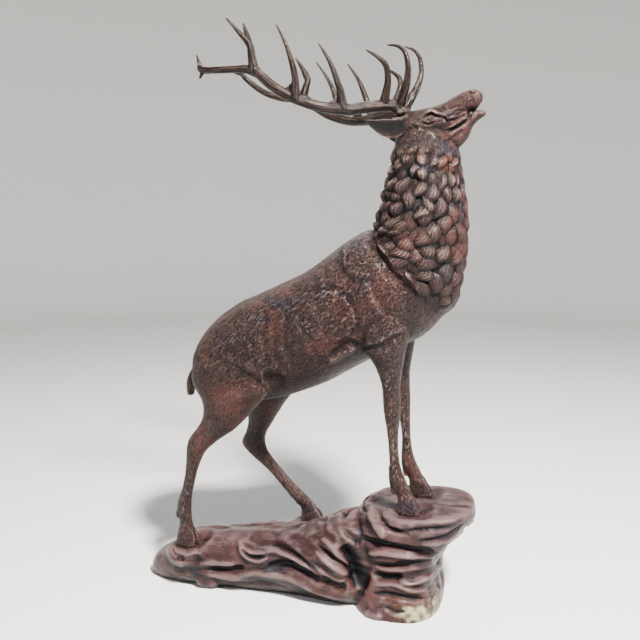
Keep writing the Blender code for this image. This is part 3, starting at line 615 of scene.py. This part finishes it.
# Strokes carved in each flank: reach, relief (or on the left and on the right), points
BODY_LINES = [
    (3.4, (0.4, -0.6), [11.5, 148, 13, 143.8, 13.9, 141.1, 15.6, 138.4, 17.8, 136.5, 20.7, 135.9,
        23.5, 135.4]),
    (3.2, (-0.6, 0.4), [22.9, 135.3, 25.4, 133.4, 26.4, 130.4, 28, 127.7, 29.4, 125, 30.8, 122.9,
        32.8, 120.2]),
    (1.3, 1, [7.5, 101.6, 12.8, 105, 18.7, 108.4]),
    (1.4, -1, [8.5, 104.2, 12.6, 107.2, 16.6, 110.4, 20.2, 109.4]),
    (1.9, -0.5, [-16.3, 119.6, -17, 112.6, -16.8, 104, -14.7, 98.2]),
    (1.8, -0.5, [-11.5, 121.5, -13.3, 114, -13.4, 107, -11.6, 101.3, -8.6, 98]),
    (1.6, -0.4, [-7.3, 122.2, -8.8, 115.3, -8.3, 108.4, -5, 102.3]),
    (2.2, 0.5, [-4.9, 122.3, -2.6, 116.1, -0.3, 110.5, 1.2, 106]),
    (3, 0.7, [-40.3, 83.5, -30.7, 86.6, -20.6, 89.1, -17.5, 90.8]),
    (2.8, -1.4, [-19.5, 94.2, -14.8, 93.7, -10.1, 93.9]),
    (2.6, 0.6, [-26.9, 99.6, -21.4, 97, -17.7, 93]),
    (2, (0.2, -0.7), [19.9, 108, 25.1, 109.6, 29, 111, 34.5, 114.5, 37.8, 115.2]),
    (1.8, -0.4, [39.3, 127.6, 40, 122.1, 39, 116.5, 37.4, 112.5]),
    (1.5, 0.55, [24, 156, 28.1, 147.7, 31.7, 144.5, 34, 140.2, 38.4, 137.6, 41.2, 134.9,
        42.9, 131.2]),
    (1.8, -0.5, [22.5, 153, 25.4, 146.3, 28.8, 142.5, 31.2, 138.5, 35.4, 135.5, 38.4, 132.5,
        39.9, 129.3]),
    (2.4, -0.4, [-33.7, 106, -28.1, 104.5, -25.1, 100.6])]
# Strokes of the face, on each side
FACE_LINES = [
    (0.42, -0.8, [42.6, 195.8, 44.1, 196.9, 45.7, 197.7, 46.7, 197.1, 48.3, 196.5, 50.6, 196.2,
        51.4, 195.1, 52.4, 194.2]),
    (0.6, 0.35, [42.2, 196.9, 44.3, 198, 45.7, 198.7, 47.1, 197.9, 49, 197.2, 51.3, 196.9]),
    (0.36, -0.65, [42.4, 195, 43, 194.2, 44.6, 193.7, 46.2, 194, 47.6, 195]),
    (0.4, 0.3, [43, 193.3, 44.6, 192.8, 46.6, 193.1]),
    (0.5, -0.3, [41.6, 192.6, 43.8, 191.9, 46.2, 192.1, 48.2, 193]),
    (0.45, -0.35, [51.6, 198.9, 53.2, 199.8, 55.1, 200.1, 56.9, 200.7]),
    (0.4, -0.4, [51.6, 196.4, 53.3, 196.9, 54.7, 198.5, 57, 199]),
    (0.4, -0.45, [51.5, 195, 53.8, 195.4, 56.1, 196.6, 58.4, 197.5]),
    (0.5, 0.35, [52.4, 196, 55.2, 196.6, 57.9, 197.9]),
    (0.6, 0.45, [52, 192.5, 54.3, 193.9, 57.1, 195.6, 58.9, 196.4]),
    (0.5, -0.6, [58.9, 195.7, 57.1, 193.9, 54.4, 192.4, 51.8, 191.3]),
    (0.7, 0.4, [58.5, 194.3, 56.7, 192.4, 53.9, 190.6, 52.1, 189.2]),
    (0.6, -0.4, [57.5, 192, 55, 190, 52.6, 188.2, 50.5, 186.6]),
    (0.6, -0.6, [58.6, 198.8, 59.8, 196.8, 59.3, 195]),
    (0.5, -0.9, [58.8, 205.8, 60.2, 205.3, 61.8, 205.7]),
    (0.5, -0.3, [58.7, 204.7, 60.3, 203.3, 60.9, 201.5]),
    (0.5, -0.45, [38.8, 193.9, 39.7, 192.9, 40.9, 191.8])]
# The mane's rear border: z, x; then how many tufts go round the neck, and their length in rows
MANE_BORDER = np.array([(119, 42), (125.7, 42.4), (131.2, 42.9), (134.9, 41.2), (137.6, 38.4),
                        (140.2, 34), (144.5, 31.7), (147.7, 28.1), (158, 22.5), (160, 0)]).T
LOCKS_ROUND = 17
LOCK_SPAN = 1.5


def dice(row, column, seed):
    """A value from 0 to 1 for each tuft of the mane and each use of it."""
    return scrambled(row * PRIMES[0] ^ column * PRIMES[1] ^ (seed + 1) * PRIMES[2]) / 65535


def neck_place(co, rings=90):
    """Where a point lies on the neck: centimetres down from the throat, angle round it from
    the nape, its distance from the middle in radii, and the radius."""
    p = along(NECK, rings)
    nape, line = p[:, :2], p[:, 2:4] - p[:, :2]
    upward = np.stack([-line[:, 1], line[:, 0]], axis=1) / np.linalg.norm(line, axis=1)[:, None]
    height = co[:, [0, 2]] @ upward.T - (nape * upward).sum(axis=1)
    k = np.clip((height > 0).sum(axis=1) - 1, 0, rings - 2)
    above, below = np.take_along_axis(height, np.stack([k, k + 1], 1), 1).T
    f = np.clip(above / np.maximum(above - below, 1e-6), 0, 1)
    here = p[k] + f[:, None] * (p[k + 1] - p[k])
    half = (here[:, 2:4] - here[:, :2]) / 2
    off = co[:, [0, 2]] - (here[:, :2] + here[:, 2:4]) / 2
    size = np.linalg.norm(half, axis=1)
    a = (off * half).sum(axis=1) / size ** 2
    b = co[:, 1] / here[:, 4]
    middle = (p[:, :2] + p[:, 2:4]) / 2
    walked = np.concatenate([[0], np.cumsum(np.linalg.norm(np.diff(middle, axis=0), axis=1))])
    down = walked[-1] - (walked[k] + f * (walked[k + 1] - walked[k]))
    return down, np.arctan2(b, -a), np.hypot(a, b), (size + here[:, 4]) / 2


def mane(co):
    """Rows of plump pointed tufts in two layers, a low one under the gaps of the other: each is
    an almond on a bent line, domed across and along, and the highest shows. Returns relief, the
    mane's share of the surface and how far across its tuft each point lies, in centimetres."""
    down, around, reach, radius = neck_place(co)
    rows_down = np.interp(down, [0, 10, 20, 48, 70], [0, 2.7, 4.9, 10.2, 15])
    width = 2 * math.pi * radius / LOCKS_ROUND
    best, across = np.zeros(len(co)), np.zeros(len(co))
    for layer, height in ((0, 1), (40, 0.45)):
        row_at = rows_down + (0.5 if layer else 0)
        turn_at = around / (2 * math.pi) * LOCKS_ROUND + (0.25 if layer else 0)
        for back, beside in np.ndindex(3, 3):
            row = np.floor(row_at).astype(np.int64) - back
            column = np.floor(turn_at + 0.5 * (row & 1)).astype(np.int64) + beside - 1
            luck = [dice(row + layer, column % LOCKS_ROUND, seed) for seed in range(7)]
            root = row + 0.7 * (luck[0] - 0.5)
            span = LOCK_SPAN * (0.8 + 0.4 * luck[1])
            t = np.clip((row_at - root) / span, 1e-3, 1)
            middle = column + 0.5 + 0.5 * (luck[2] - 0.5) - 0.5 * (row & 1)
            lean = 1.1 * (luck[3] - 0.5) + 0.3
            bend = 0.7 * (luck[4] - 0.5)
            sideways = (turn_at - middle + np.sign(around - 1e-9) * lean * (t - 0.5)
                        - bend * np.sin(math.pi * t)) * width
            half = width * (1.12 + 0.45 * luck[5]) * t ** 0.6 * (1 - t) ** 0.65
            q = sideways / np.maximum(half, 1e-3)
            dome = np.clip(1 - np.abs(q) ** 1.8, 0, 1) ** 0.65
            lift = height * (0.35 + 0.65 * np.sin(math.pi * t ** 1.15)) * (0.8 + 0.4 * luck[6])
            # a tuft whose middle lies behind the mane's border isn't there
            middle_z = co[:, 2] + (row_at - root - 0.45 * span) * 4.6
            kept = co[:, 0] > np.interp(middle_z, *MANE_BORDER) - 1
            tall = np.where(kept & (row_at > root) & (t < 1) & (np.abs(q) < 1), lift * dome, 0)
            higher = tall > best
            best[higher] = tall[higher]
            across[higher] = (sideways + 2.5 * luck[0])[higher]
    size = np.interp(down, [2, 12, 20, 46, 58, 64], [0.25, 0.6, 1, 1, 0.65, 0])
    front = 1 - 0.45 * step(np.abs(around), 2.5, 3)
    on_neck = (1 - step(reach, 1.16, 1.32)) * step(co[:, 2], 117, 122) * (co[:, 0] > 14)
    head = 1 - step(co[:, 2], 181 - 0.15 * (co[:, 0] - 40), 187)
    border = step(co[:, 0] - np.interp(co[:, 2], *MANE_BORDER), -1.5, 0.5)
    share = size * front * on_neck * head * border
    return share * (2.6 * best - 1.1), share, across


def hair_lie(tree):
    """Strokes of hair as drawn-out, curled noise: back and down along the body and straight down
    on the legs; grooves along the tufts of the mane; and hardly any on the face and hooves."""
    along_body = speckle(tree, 185, (0.42, 1, 1), (0, 0.72, 0), distort=1.1)
    straight = speckle(tree, 200, (1, 1, 0.35), distort=0.5)
    wave = sums(tree, (marked(tree, "across"), 2 * math.pi / STRAND), (speckle(tree, 70), 9))
    strand = node(tree, "Math", x0=wave)
    strand.operation = "SINE"
    grooves = node(tree, "MapRange", x0=(strand, 0), x1=-1, x2=0.6, x3=0, x4=0.38)
    locks = sums(tree, ((grooves, 0), 1), (speckle(tree, 170, distort=1), 0.6))
    value = blend(tree, marked(tree, "down"), ramp(tree, along_body, 0.36, 0.61),
                  ramp(tree, straight, 0.27, 0.69))
    value = blend(tree, marked(tree, "mane"), value, locks)
    skin_grain = ramp(tree, speckle(tree, 210), 0.38, 0.62)
    return blend(tree, marked(tree, "bare"), value, skin_grain), 0.0028


def coat(co):
    """Short strokes of hair: clouds drawn out along the lie of the coat, which runs back and
    down on the body and straight down on the legs and neck."""
    x, y, z = co.T
    low = 1 - step(z, 78, 98)
    lie = unit(np.stack([-0.75 * (1 - low), np.zeros(len(x)), -0.66 * (1 - low) - low], axis=1))
    across = x * -lie[:, 2] + z * lie[:, 0]
    return cloud(np.stack([(co * lie).sum(axis=1) / 2.2, across, y], axis=1), 1, 5)


def ear_hollow(co):
    """1 on the front face inside an ear's cup, 0 on its rim and everywhere else."""
    p = along(EAR, 60)[::-1]
    side, z, half, depth = (np.interp(co[:, 0], p[:, 0], p[:, i]) for i in (1, 2, 3, 4))
    v = (co[:, 2] - z) / half
    ahead = (np.abs(co[:, 1]) - side) / 1.14
    inside = (ahead > -depth * (1 - v ** 2)) & (ahead < 1.5) & (co[:, 0] < 35) & (co[:, 0] > 22)
    return inside * step(0.92 - np.abs(v), 0, 0.25)


def stag_relief(co):
    """Everything modelled in the stag's surface, in centimetres outwards, and its marks."""
    x, y, z = co.T
    total = np.zeros(len(x))
    trunk = step(z, 76, 84) * (1 - step(z, 156, 160)) * (x < 45)
    flank = step(np.abs(y), 5, 12)
    swell = np.zeros(len(x))
    for at, up, reach, out in MUSCLES:
        swell += out * np.exp(-((x - at) ** 2 + (z - up) ** 2) / reach ** 2)
    total += trunk * flank * swell
    body = np.flatnonzero(trunk * flank > 0)
    total[body] += (trunk * flank)[body] * carved(x[body], z[body], BODY_LINES)
    # the worn oval patch on the ribs, with a ragged step along its upper and front edge
    rim = np.hypot((x - 9.2) / 10.3, (z - 120.5) / 10.2) + 0.1 * cloud(co, 1.6, 7)
    patch = trunk * flank * (1 - step(rim, 0.94, 1.03)) * (y < 0)
    edge = np.exp(-((rim - 1.12) / 0.1) ** 2) * step(x + z, 126, 138)
    total += 0.3 * patch - 0.35 * trunk * flank * edge
    head = np.flatnonzero((x > 34) & (z > 184))
    away = step(np.abs(y[head]), 1.2, 3)
    total[head] += away * carved(x[head], z[head], FACE_LINES)
    total -= 0.9 * np.exp(-((x - 62.9) / 1.2) ** 2 - ((np.abs(y) - 2) / 0.8) ** 2
                          - ((z - 204.2) / 0.9) ** 2)
    locks, share, across = np.zeros((3, len(x)))
    neck = np.flatnonzero((x > 12) & (z > 112) & (z < 196))
    locks[neck], share[neck], across[neck] = mane(co[neck])
    total += locks + 0.06 * share * np.sin(2 * math.pi * across / STRAND + 2.5 * cloud(co, 2, 6))
    bare = 0.7 * step(z - 0.35 * (60 - x), 184, 190) * (x > 37)
    bare = np.maximum(bare, 0.8 * step(np.abs(y), 5.5, 7) * step(z, 188, 190) * (x < 37))
    for toe, heel, sole, at in HOOVES:
        here = (np.abs(x - (toe + heel) / 2) < 8) & (np.abs(y - at) < 6) & (z > sole - 3)
        bare = np.maximum(bare, here * (1 - step(z, sole + 3.5, sole + 5.5)))
    total += 0.09 * (1 - share) * (1 - bare) * (1 + 1.2 * patch) * coat(co)
    # Painted reddish bounce light on the front of the throat and the chest, carried by the stain
    # mark
    throat = 0.9 * np.exp(-((x - 52.5) / 3.5) ** 2 - ((z - 179) / 4.5) ** 2)
    chest = 0.55 * step(x, 53, 61) * (1 - step(z, 172, 182)) * step(z, 115, 125)
    down = np.maximum(share > 0, 1 - step(z, 78, 98))
    return total, {"bare": bare, "down": down, "mane": step(share, 0.3, 0.7), "across": across,
                   "stain_and_bounce_light": np.maximum(throat, chest), "shade": ear_hollow(co)}


def on_soles(co):
    """Each sole is flat, half a gap over its pad."""
    for toe, heel, sole, at in HOOVES:
        past_x, past_y = past_hoof(co, toe, heel, at)
        under = (past_x < 2) & (past_y < 2) & (co[:, 2] < sole + SEAT_GAP / 2)
        co[under, 2] = sole + SEAT_GAP / 2
    return co


def on_seats(co, above):
    """Flat faces where antler and pedicle meet, half a gap each side of the seat."""
    for mirror in (-1, 1):
        low, high = (np.array([x, mirror * side, z]) for x, side, z in SEAT)
        axis = (high - low) / np.linalg.norm(high - low)
        height = (co - low) @ axis
        beside = np.linalg.norm(co - low - height[:, None] * axis, axis=1)
        gap = SEAT_GAP / 2
        if above:
            wrong = (height < gap) & (beside < 9) & (height > -9)
            co[wrong] += (gap - height[wrong])[:, None] * axis
        else:
            wrong = (height > -gap) & (beside < 3.9) & (height < 3.5)
            co[wrong] -= (height[wrong] + gap)[:, None] * axis
    return co


shells = [sections(rows, sides=sides, rings=rings) for rows, sides, rings in (
    (TORSO, 96, 120), (NECK, 96, 120), (SKULL, 48, 70), (JAW, 32, 50), (CHEEK, 32, 50),
    (TAIL, 24, 30))]
shells += [sections(rows, sides=32, rings=120, mirror=mirror) for mirror, rows in LEGS]
for spot, (_, leg), dewclaw in zip(HOOVES, LEGS, DEWCLAWS):
    shells += hoof(spot, leg, dewclaw)
for mirror in (-1, 1):
    shells += [ear(mirror), branch(PEDICLE, mirror)]
    shells += [ball((x, mirror * side, z), size) for (x, side, z), size in FACE]
co, faces, edges = fused(shells, STAG_VOXEL)
smooth = relax(co, edges, 14, 0.52)
co = co + (smooth - co) * (1 - 0.6 * step(co[:, 2], 186, 192))[:, None]
relief, marks = stag_relief(co)
co = co + normals(co, faces) * relief[:, None]
co = on_seats(on_soles(co), False)
stag = cast("stag_body", co, faces, edges, STAG_TRIANGLES, marks)
# Its stain colour is a painted reddish bounce light on the throat and chest; up paints the back
# lighter and the belly darker
stag_patina = bronze("stag_patina", (0.001, 0.0008, 0.0015), (0.017, 0.0078, 0.0068),
                     [((0.046, 0.0155, 0.0135), 4.5, 0.47, 0.66),
                      ((0.01, 0.007, 0.013), 7.5, 0.52, 0.68),
                      ((0.03, 0.012, 0.005), 3, 0.6, 0.75)],
                     (0.2, 0.142, 0.128), (0.48, 0.27), hair_lie, (0.06, 0.016, 0.008), up=0.12)
stag.data.materials.append(stag_patina)
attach(stag, "root")
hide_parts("stag")

# The antlers: two hollow bronze castings, each seated on its pedicle with a hidden joint at
# the knobbly coronet. Grooved along their length, near black with brown clouds, rubbed paler
# along the ridges with painted highlights, painted lighter on top and painted darker in the
# hollows.
ANTLER_VOXEL = 0.22
ANTLER_TRIANGLES = 90000
BURR = 3.1
# Beam and tines, root to tip: x, side, z, radius
BEAM = [(34.6, 4.2, 198.2, 2.4), (32.6, 5.4, 200.2, 2.3), (29.8, 7, 201.3, 2.3),
    (22, 12, 200.2, 2.3), (15, 17, 199, 2.2), (6.9, 21.5, 199.7, 2), (-1.7, 25, 202.2, 1.9),
    (-8.8, 27, 206, 1.9), (-14.3, 28, 210.4, 1.8), (-17.4, 28.5, 213.2, 1.4)]
TINES = {
    "brow": [(32.8, 5.2, 200.6, 2.1), (34.6, 7.2, 204.6, 1.9), (36.4, 9.4, 208.6, 1.5),
        (37.3, 11.5, 213.9, 1.15), (36.2, 12, 219.2, 0.9), (33.4, 11.5, 221.9, 0.65),
        (29.1, 10.5, 222.8, 0.3)],
    "bez": [(27.6, 8.4, 201.2, 2.1), (28.8, 10.2, 205.4, 1.6), (29.9, 12.2, 209.8, 1.25),
        (29.6, 15, 214.4, 1.1), (27, 17, 217.3, 0.8), (22.7, 18, 219.9, 0.3)],
    "trez": [(13.6, 17.9, 199.8, 2.4), (13.6, 18.8, 203.6, 1.6), (12.9, 20, 207.4, 1.3),
        (10.1, 22, 215.5, 0.85), (6, 23, 222.3, 0.3)],
    "royal": [(-2.6, 25.2, 202.8, 2.5), (-2, 26.1, 206.6, 1.6), (-1.9, 27, 210.8, 1.3),
        (-3.2, 28.5, 217.1, 1), (-5.3, 29, 222.7, 0.65), (-8.3, 29, 228.5, 0.3)],
    "crown_up": [(-17.2, 28.4, 212.5, 1.9), (-17.8, 28.8, 217, 1.6), (-18.5, 29.2, 221.5, 1.3),
        (-22.1, 30, 226, 0.9), (-27.4, 30, 231.6, 0.3)],
    "crown_inner": [(-18.3, 29, 220.6, 1.3), (-19.6, 28.3, 224.6, 1.1), (-20.8, 27.4, 227.6, 0.8),
        (-22.1, 26.5, 230.4, 0.3)],
    "crown_back": [(-15.6, 28.3, 212, 2), (-20.5, 28.2, 213.4, 1.6), (-26, 27.9, 213.7, 1.35),
        (-33.5, 27, 214, 1.3), (-39.6, 25.6, 214.7, 1.3), (-40.6, 25.3, 217, 0.8),
        (-41.8, 25, 220.4, 0.3)],
    "crown_low": [(-38.4, 25.9, 214.6, 1.1), (-39.8, 25.4, 212.9, 0.7), (-40.8, 25, 211.4, 0.3)]}
# How far the left antler's tines stand from a mirror image: at the root x, z, at the tip x, z
LEFT_LEAN = {"brow": (0, 0, 2.8, 3.6), "trez": (3.6, 0, -0.5, 1.2),
             "royal": (3.4, -0.6, -1.8, -2.4), "crown_up": (1.5, -0.8, 7.6, -3.4),
             "crown_inner": (4.2, -1.9, 3.4, -2.4)}
# The left antler's rear branch rises steeply to a short fork
LEFT_TINES = {
    "crown_back": [(-13.9, 28.2, 211.4, 2), (-20, 28.3, 210.9, 1.7), (-25.1, 28.2, 211.2, 1.5),
        (-30.5, 27.8, 212.6, 1.4), (-35.5, 27.4, 215, 1.35), (-40, 27, 218.4, 1.3),
        (-42.8, 26.7, 220.9, 1.2), (-44.4, 26.4, 223.2, 0.8), (-45, 26.2, 225.4, 0.3)],
    "crown_low": [(-43.4, 26.6, 221.8, 0.9), (-45.6, 26.4, 222.4, 0.6), (-47.4, 26.2, 222.6, 0.3)]}
# The left beam lies lower and thicker next to the coronet
LEFT_BEAM = BEAM[:2] + [(29.8, 7, 200.2, 2.7), (22, 12, 199.3, 2.4)] + BEAM[4:]
# Webs in the corners behind the roots of two tines: upper x, z, lower x, z, side, half width
WEBS = [
    [(-7.4, 205.6, -7, 204, 26.4, 0.5), (-5.5, 206.5, -5, 204, 26.2, 0.7),
     (-3.8, 207.8, -3.4, 204, 26.2, 0.8), (-2.6, 209, -2.2, 204, 26.1, 0.8)],
    [(8, 201.3, 8.4, 200, 20.4, 0.5), (10, 202, 10.2, 200, 19.6, 0.7),
     (11.6, 203.3, 11.8, 200, 19.1, 0.8), (12.8, 204.8, 13, 200, 18.8, 0.8)]]


def antler_relief(co, paths):
    """Grooves along beam and tines: a cosine of the angle round the nearest path, wandering
    with clouds, and pearls at the coronet, which fade 4 cm up the beam. Returns the relief in
    centimetres and the grooves alone, which colour the antler."""
    points = np.vstack([p[:, :3] for p in paths])
    radius = np.concatenate([p[:, 3] for p in paths])
    tangent = unit(np.vstack([np.gradient(p[:, :3], axis=0) for p in paths]))
    best = np.full(len(co), 1e9)
    owner = np.zeros(len(co), np.int64)
    for i, point in enumerate(points):
        off = np.linalg.norm(co - point, axis=1) - radius[i]
        closer = off < best
        best[closer] = off[closer]
        owner[closer] = i
    t = tangent[owner]
    side = unit(np.cross(t, (0, 1, 0)))
    other = np.cross(t, side)
    off = co - points[owner]
    angle = np.arctan2((off * other).sum(axis=1), (off * side).sum(axis=1))
    wander = 1.6 * cloud(co, 7, 9)
    thick = step(radius[owner], 0.6, 1.6)
    grooves = np.cos(9 * angle + 5 * wander) * 0.5 + np.cos(5 * angle - 4 * wander) * 0.6
    root = (34, np.sign(co[:, 1].mean()) * 4.6, 199)
    from_root = np.linalg.norm(co - root, axis=1)
    pearls = (1 - step(from_root, 2.6, 6.5)) * (cloud(co, 0.9, 10) + 0.3)
    return 0.07 * thick * grooves + 0.22 * pearls + 0.05 * thick * cloud(co, 1.2, 11), grooves


def antler_grain(tree):
    """Ridges and grooves along the antler, broken up by fine pitting."""
    both = sums(tree, (marked(tree, "across"), 0.4), (speckle(tree, 120), 1))
    return ramp(tree, both, -0.1, 1.1), 0.0012


antlers = []
for name, cad_node, mirror in (("antler_right", "right_antler", -1),
                               ("antler_left", "left_antler", 1)):
    beam = LEFT_BEAM if mirror > 0 else BEAM
    shells, paths = [branch(beam, mirror, sides=32, rings=120)], [along(beam, 80)]
    for tine_name, tine in ({**TINES, **LEFT_TINES} if mirror > 0 else TINES).items():
        rows = np.array(tine)
        if mirror > 0:
            lean = np.reshape(LEFT_LEAN.get(tine_name, (0, 0, 0, 0)), (2, 2))
            out = np.linspace(0, 1, len(rows))[:, None]
            rows[:, [0, 2]] += lean[0] + out * (lean[1] - lean[0])
        shells.append(branch(rows, mirror))
        paths.append(along(rows, 24))
    shells += [sections(web, sides=20, rings=24, mirror=mirror) for web in WEBS]
    shells.append(ball((BEAM[0][0] - 0.5, mirror * (BEAM[0][1] + 0.4), BEAM[0][2] + 0.6),
                       (BURR, BURR, 0.55 * BURR)))
    co, faces, edges = fused(shells, ANTLER_VOXEL)
    co = relax(co, edges, 6, 0.52)
    paths = [p * (1, mirror, 1, 1) for p in paths]
    relief, grooves = antler_relief(co, paths)
    co = on_seats(co + normals(co, faces) * relief[:, None], True)
    from_seat = np.linalg.norm(co - (33.4, mirror * 4.8, 199.2), axis=1)
    antler = cast(name, co, faces, edges, ANTLER_TRIANGLES,
                  {"stain_and_bounce_light": 0.95 - from_seat / 5.5, "across": grooves})
    antlers.append((antler, cad_node))
# up paints the antlers' tops lighter and their undersides darker, as painted light from above
antler_patina = bronze("antler_patina", (0.001, 0.0008, 0.001), (0.009, 0.005, 0.004),
                       [((0.018, 0.0085, 0.0045), 9, 0.5, 0.68),
                        ((0.02, 0.009, 0.008), 14, 0.58, 0.72)],
                       (0.078, 0.06, 0.051), (0.36, 0.16), antler_grain,
                       (0.13, 0.095, 0.06), up=0.18)
for antler, cad_node in antlers:
    antler.data.materials.append(antler_patina)
    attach(antler, "root")
    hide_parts(cad_node)

# The studio: a pale matt floor that curves up into a wall far behind, a key light high on the
# camera's right, a broad weak fill from its left and a soft light from behind.
FLOOR_RADIUS, FLOOR_RISE, WALL_HEIGHT = 9, 6, 12
FLOOR_SIDES, FLOOR_RINGS = 96, 25
around, bent = circle(FLOOR_SIDES), np.linspace(0, 1, FLOOR_RINGS)[:, None] * math.pi / 2
radius = FLOOR_RADIUS + FLOOR_RISE * np.sin(bent)
rings = np.stack([radius * np.cos(around), radius * np.sin(around),
                  WALL_HEIGHT - WALL_HEIGHT * np.cos(bent) + 0 * around], axis=-1)
at = np.arange(FLOOR_RINGS * FLOOR_SIDES).reshape(FLOOR_RINGS, FLOOR_SIDES)
beside = np.roll(at, -1, 1)
walls = np.stack([at[:-1], at[1:], beside[1:], beside[:-1]], -1).reshape(-1, 4)
floor = surface("floor", rings.reshape(-1, 3) / CM, [at[0].tolist()] + walls.tolist())
floor.data.polygons.foreach_set("use_smooth", np.arange(len(floor.data.polygons)) > 0)
paper = bpy.data.materials.new("paper")
paper.use_nodes = True
finish = paper.node_tree.nodes["Principled BSDF"].inputs
finish["Base Color"].default_value = (0.88, 0.88, 0.87, 1)
finish["Roughness"].default_value = 0.9
floor.data.materials.append(paper)
world = bpy.data.worlds.new("studio")
bpy.context.scene.world = world
world.use_nodes = True
sky = world.node_tree.nodes["Background"].inputs
sky["Color"].default_value = (0.92, 0.94, 1, 1)
sky["Strength"].default_value = 0.25


def softbox(name, place, size, power, colour):
    """A square light that faces the middle of the stag."""
    light = bpy.data.lights.new(name, "AREA")
    light.size, light.energy, light.color = size, power, colour
    obj = placed(name, light)
    obj.location = place
    obj.rotation_euler = (Vector((0, 0, 1.15)) - Vector(place)).to_track_quat("-Z", "Y").to_euler()


softbox("key", (2.3, -2.6, 5.2), 0.7, 1850, (1, 0.95, 0.88))
softbox("fill", (-3.2, -2.6, 2.2), 2.5, 25, (0.92, 0.95, 1))
softbox("back", (-1, 3.2, 3.6), 2.2, 45, (1, 1, 1))

# The camera: the photograph's own place, a little forward of square to the stag's right side
# and slightly above the middle, looking 8 degrees down.
camera = placed("camera", bpy.data.cameras.new("camera"))
camera.location = (0.8545, -2.9799, 1.6)
round_z, fall = math.radians(16), math.radians(8)
ahead = Vector((-math.sin(round_z) * math.cos(fall), math.cos(round_z) * math.cos(fall),
                -math.sin(fall)))
camera.rotation_euler = ahead.to_track_quat("-Z", "Y").to_euler()
FOCAL_PIXELS, PICTURE_PIXELS = 750, 640
camera.data.sensor_width = 36
camera.data.lens = camera.data.sensor_width * FOCAL_PIXELS / PICTURE_PIXELS
camera.data.clip_end = 200
bpy.context.scene.camera = camera
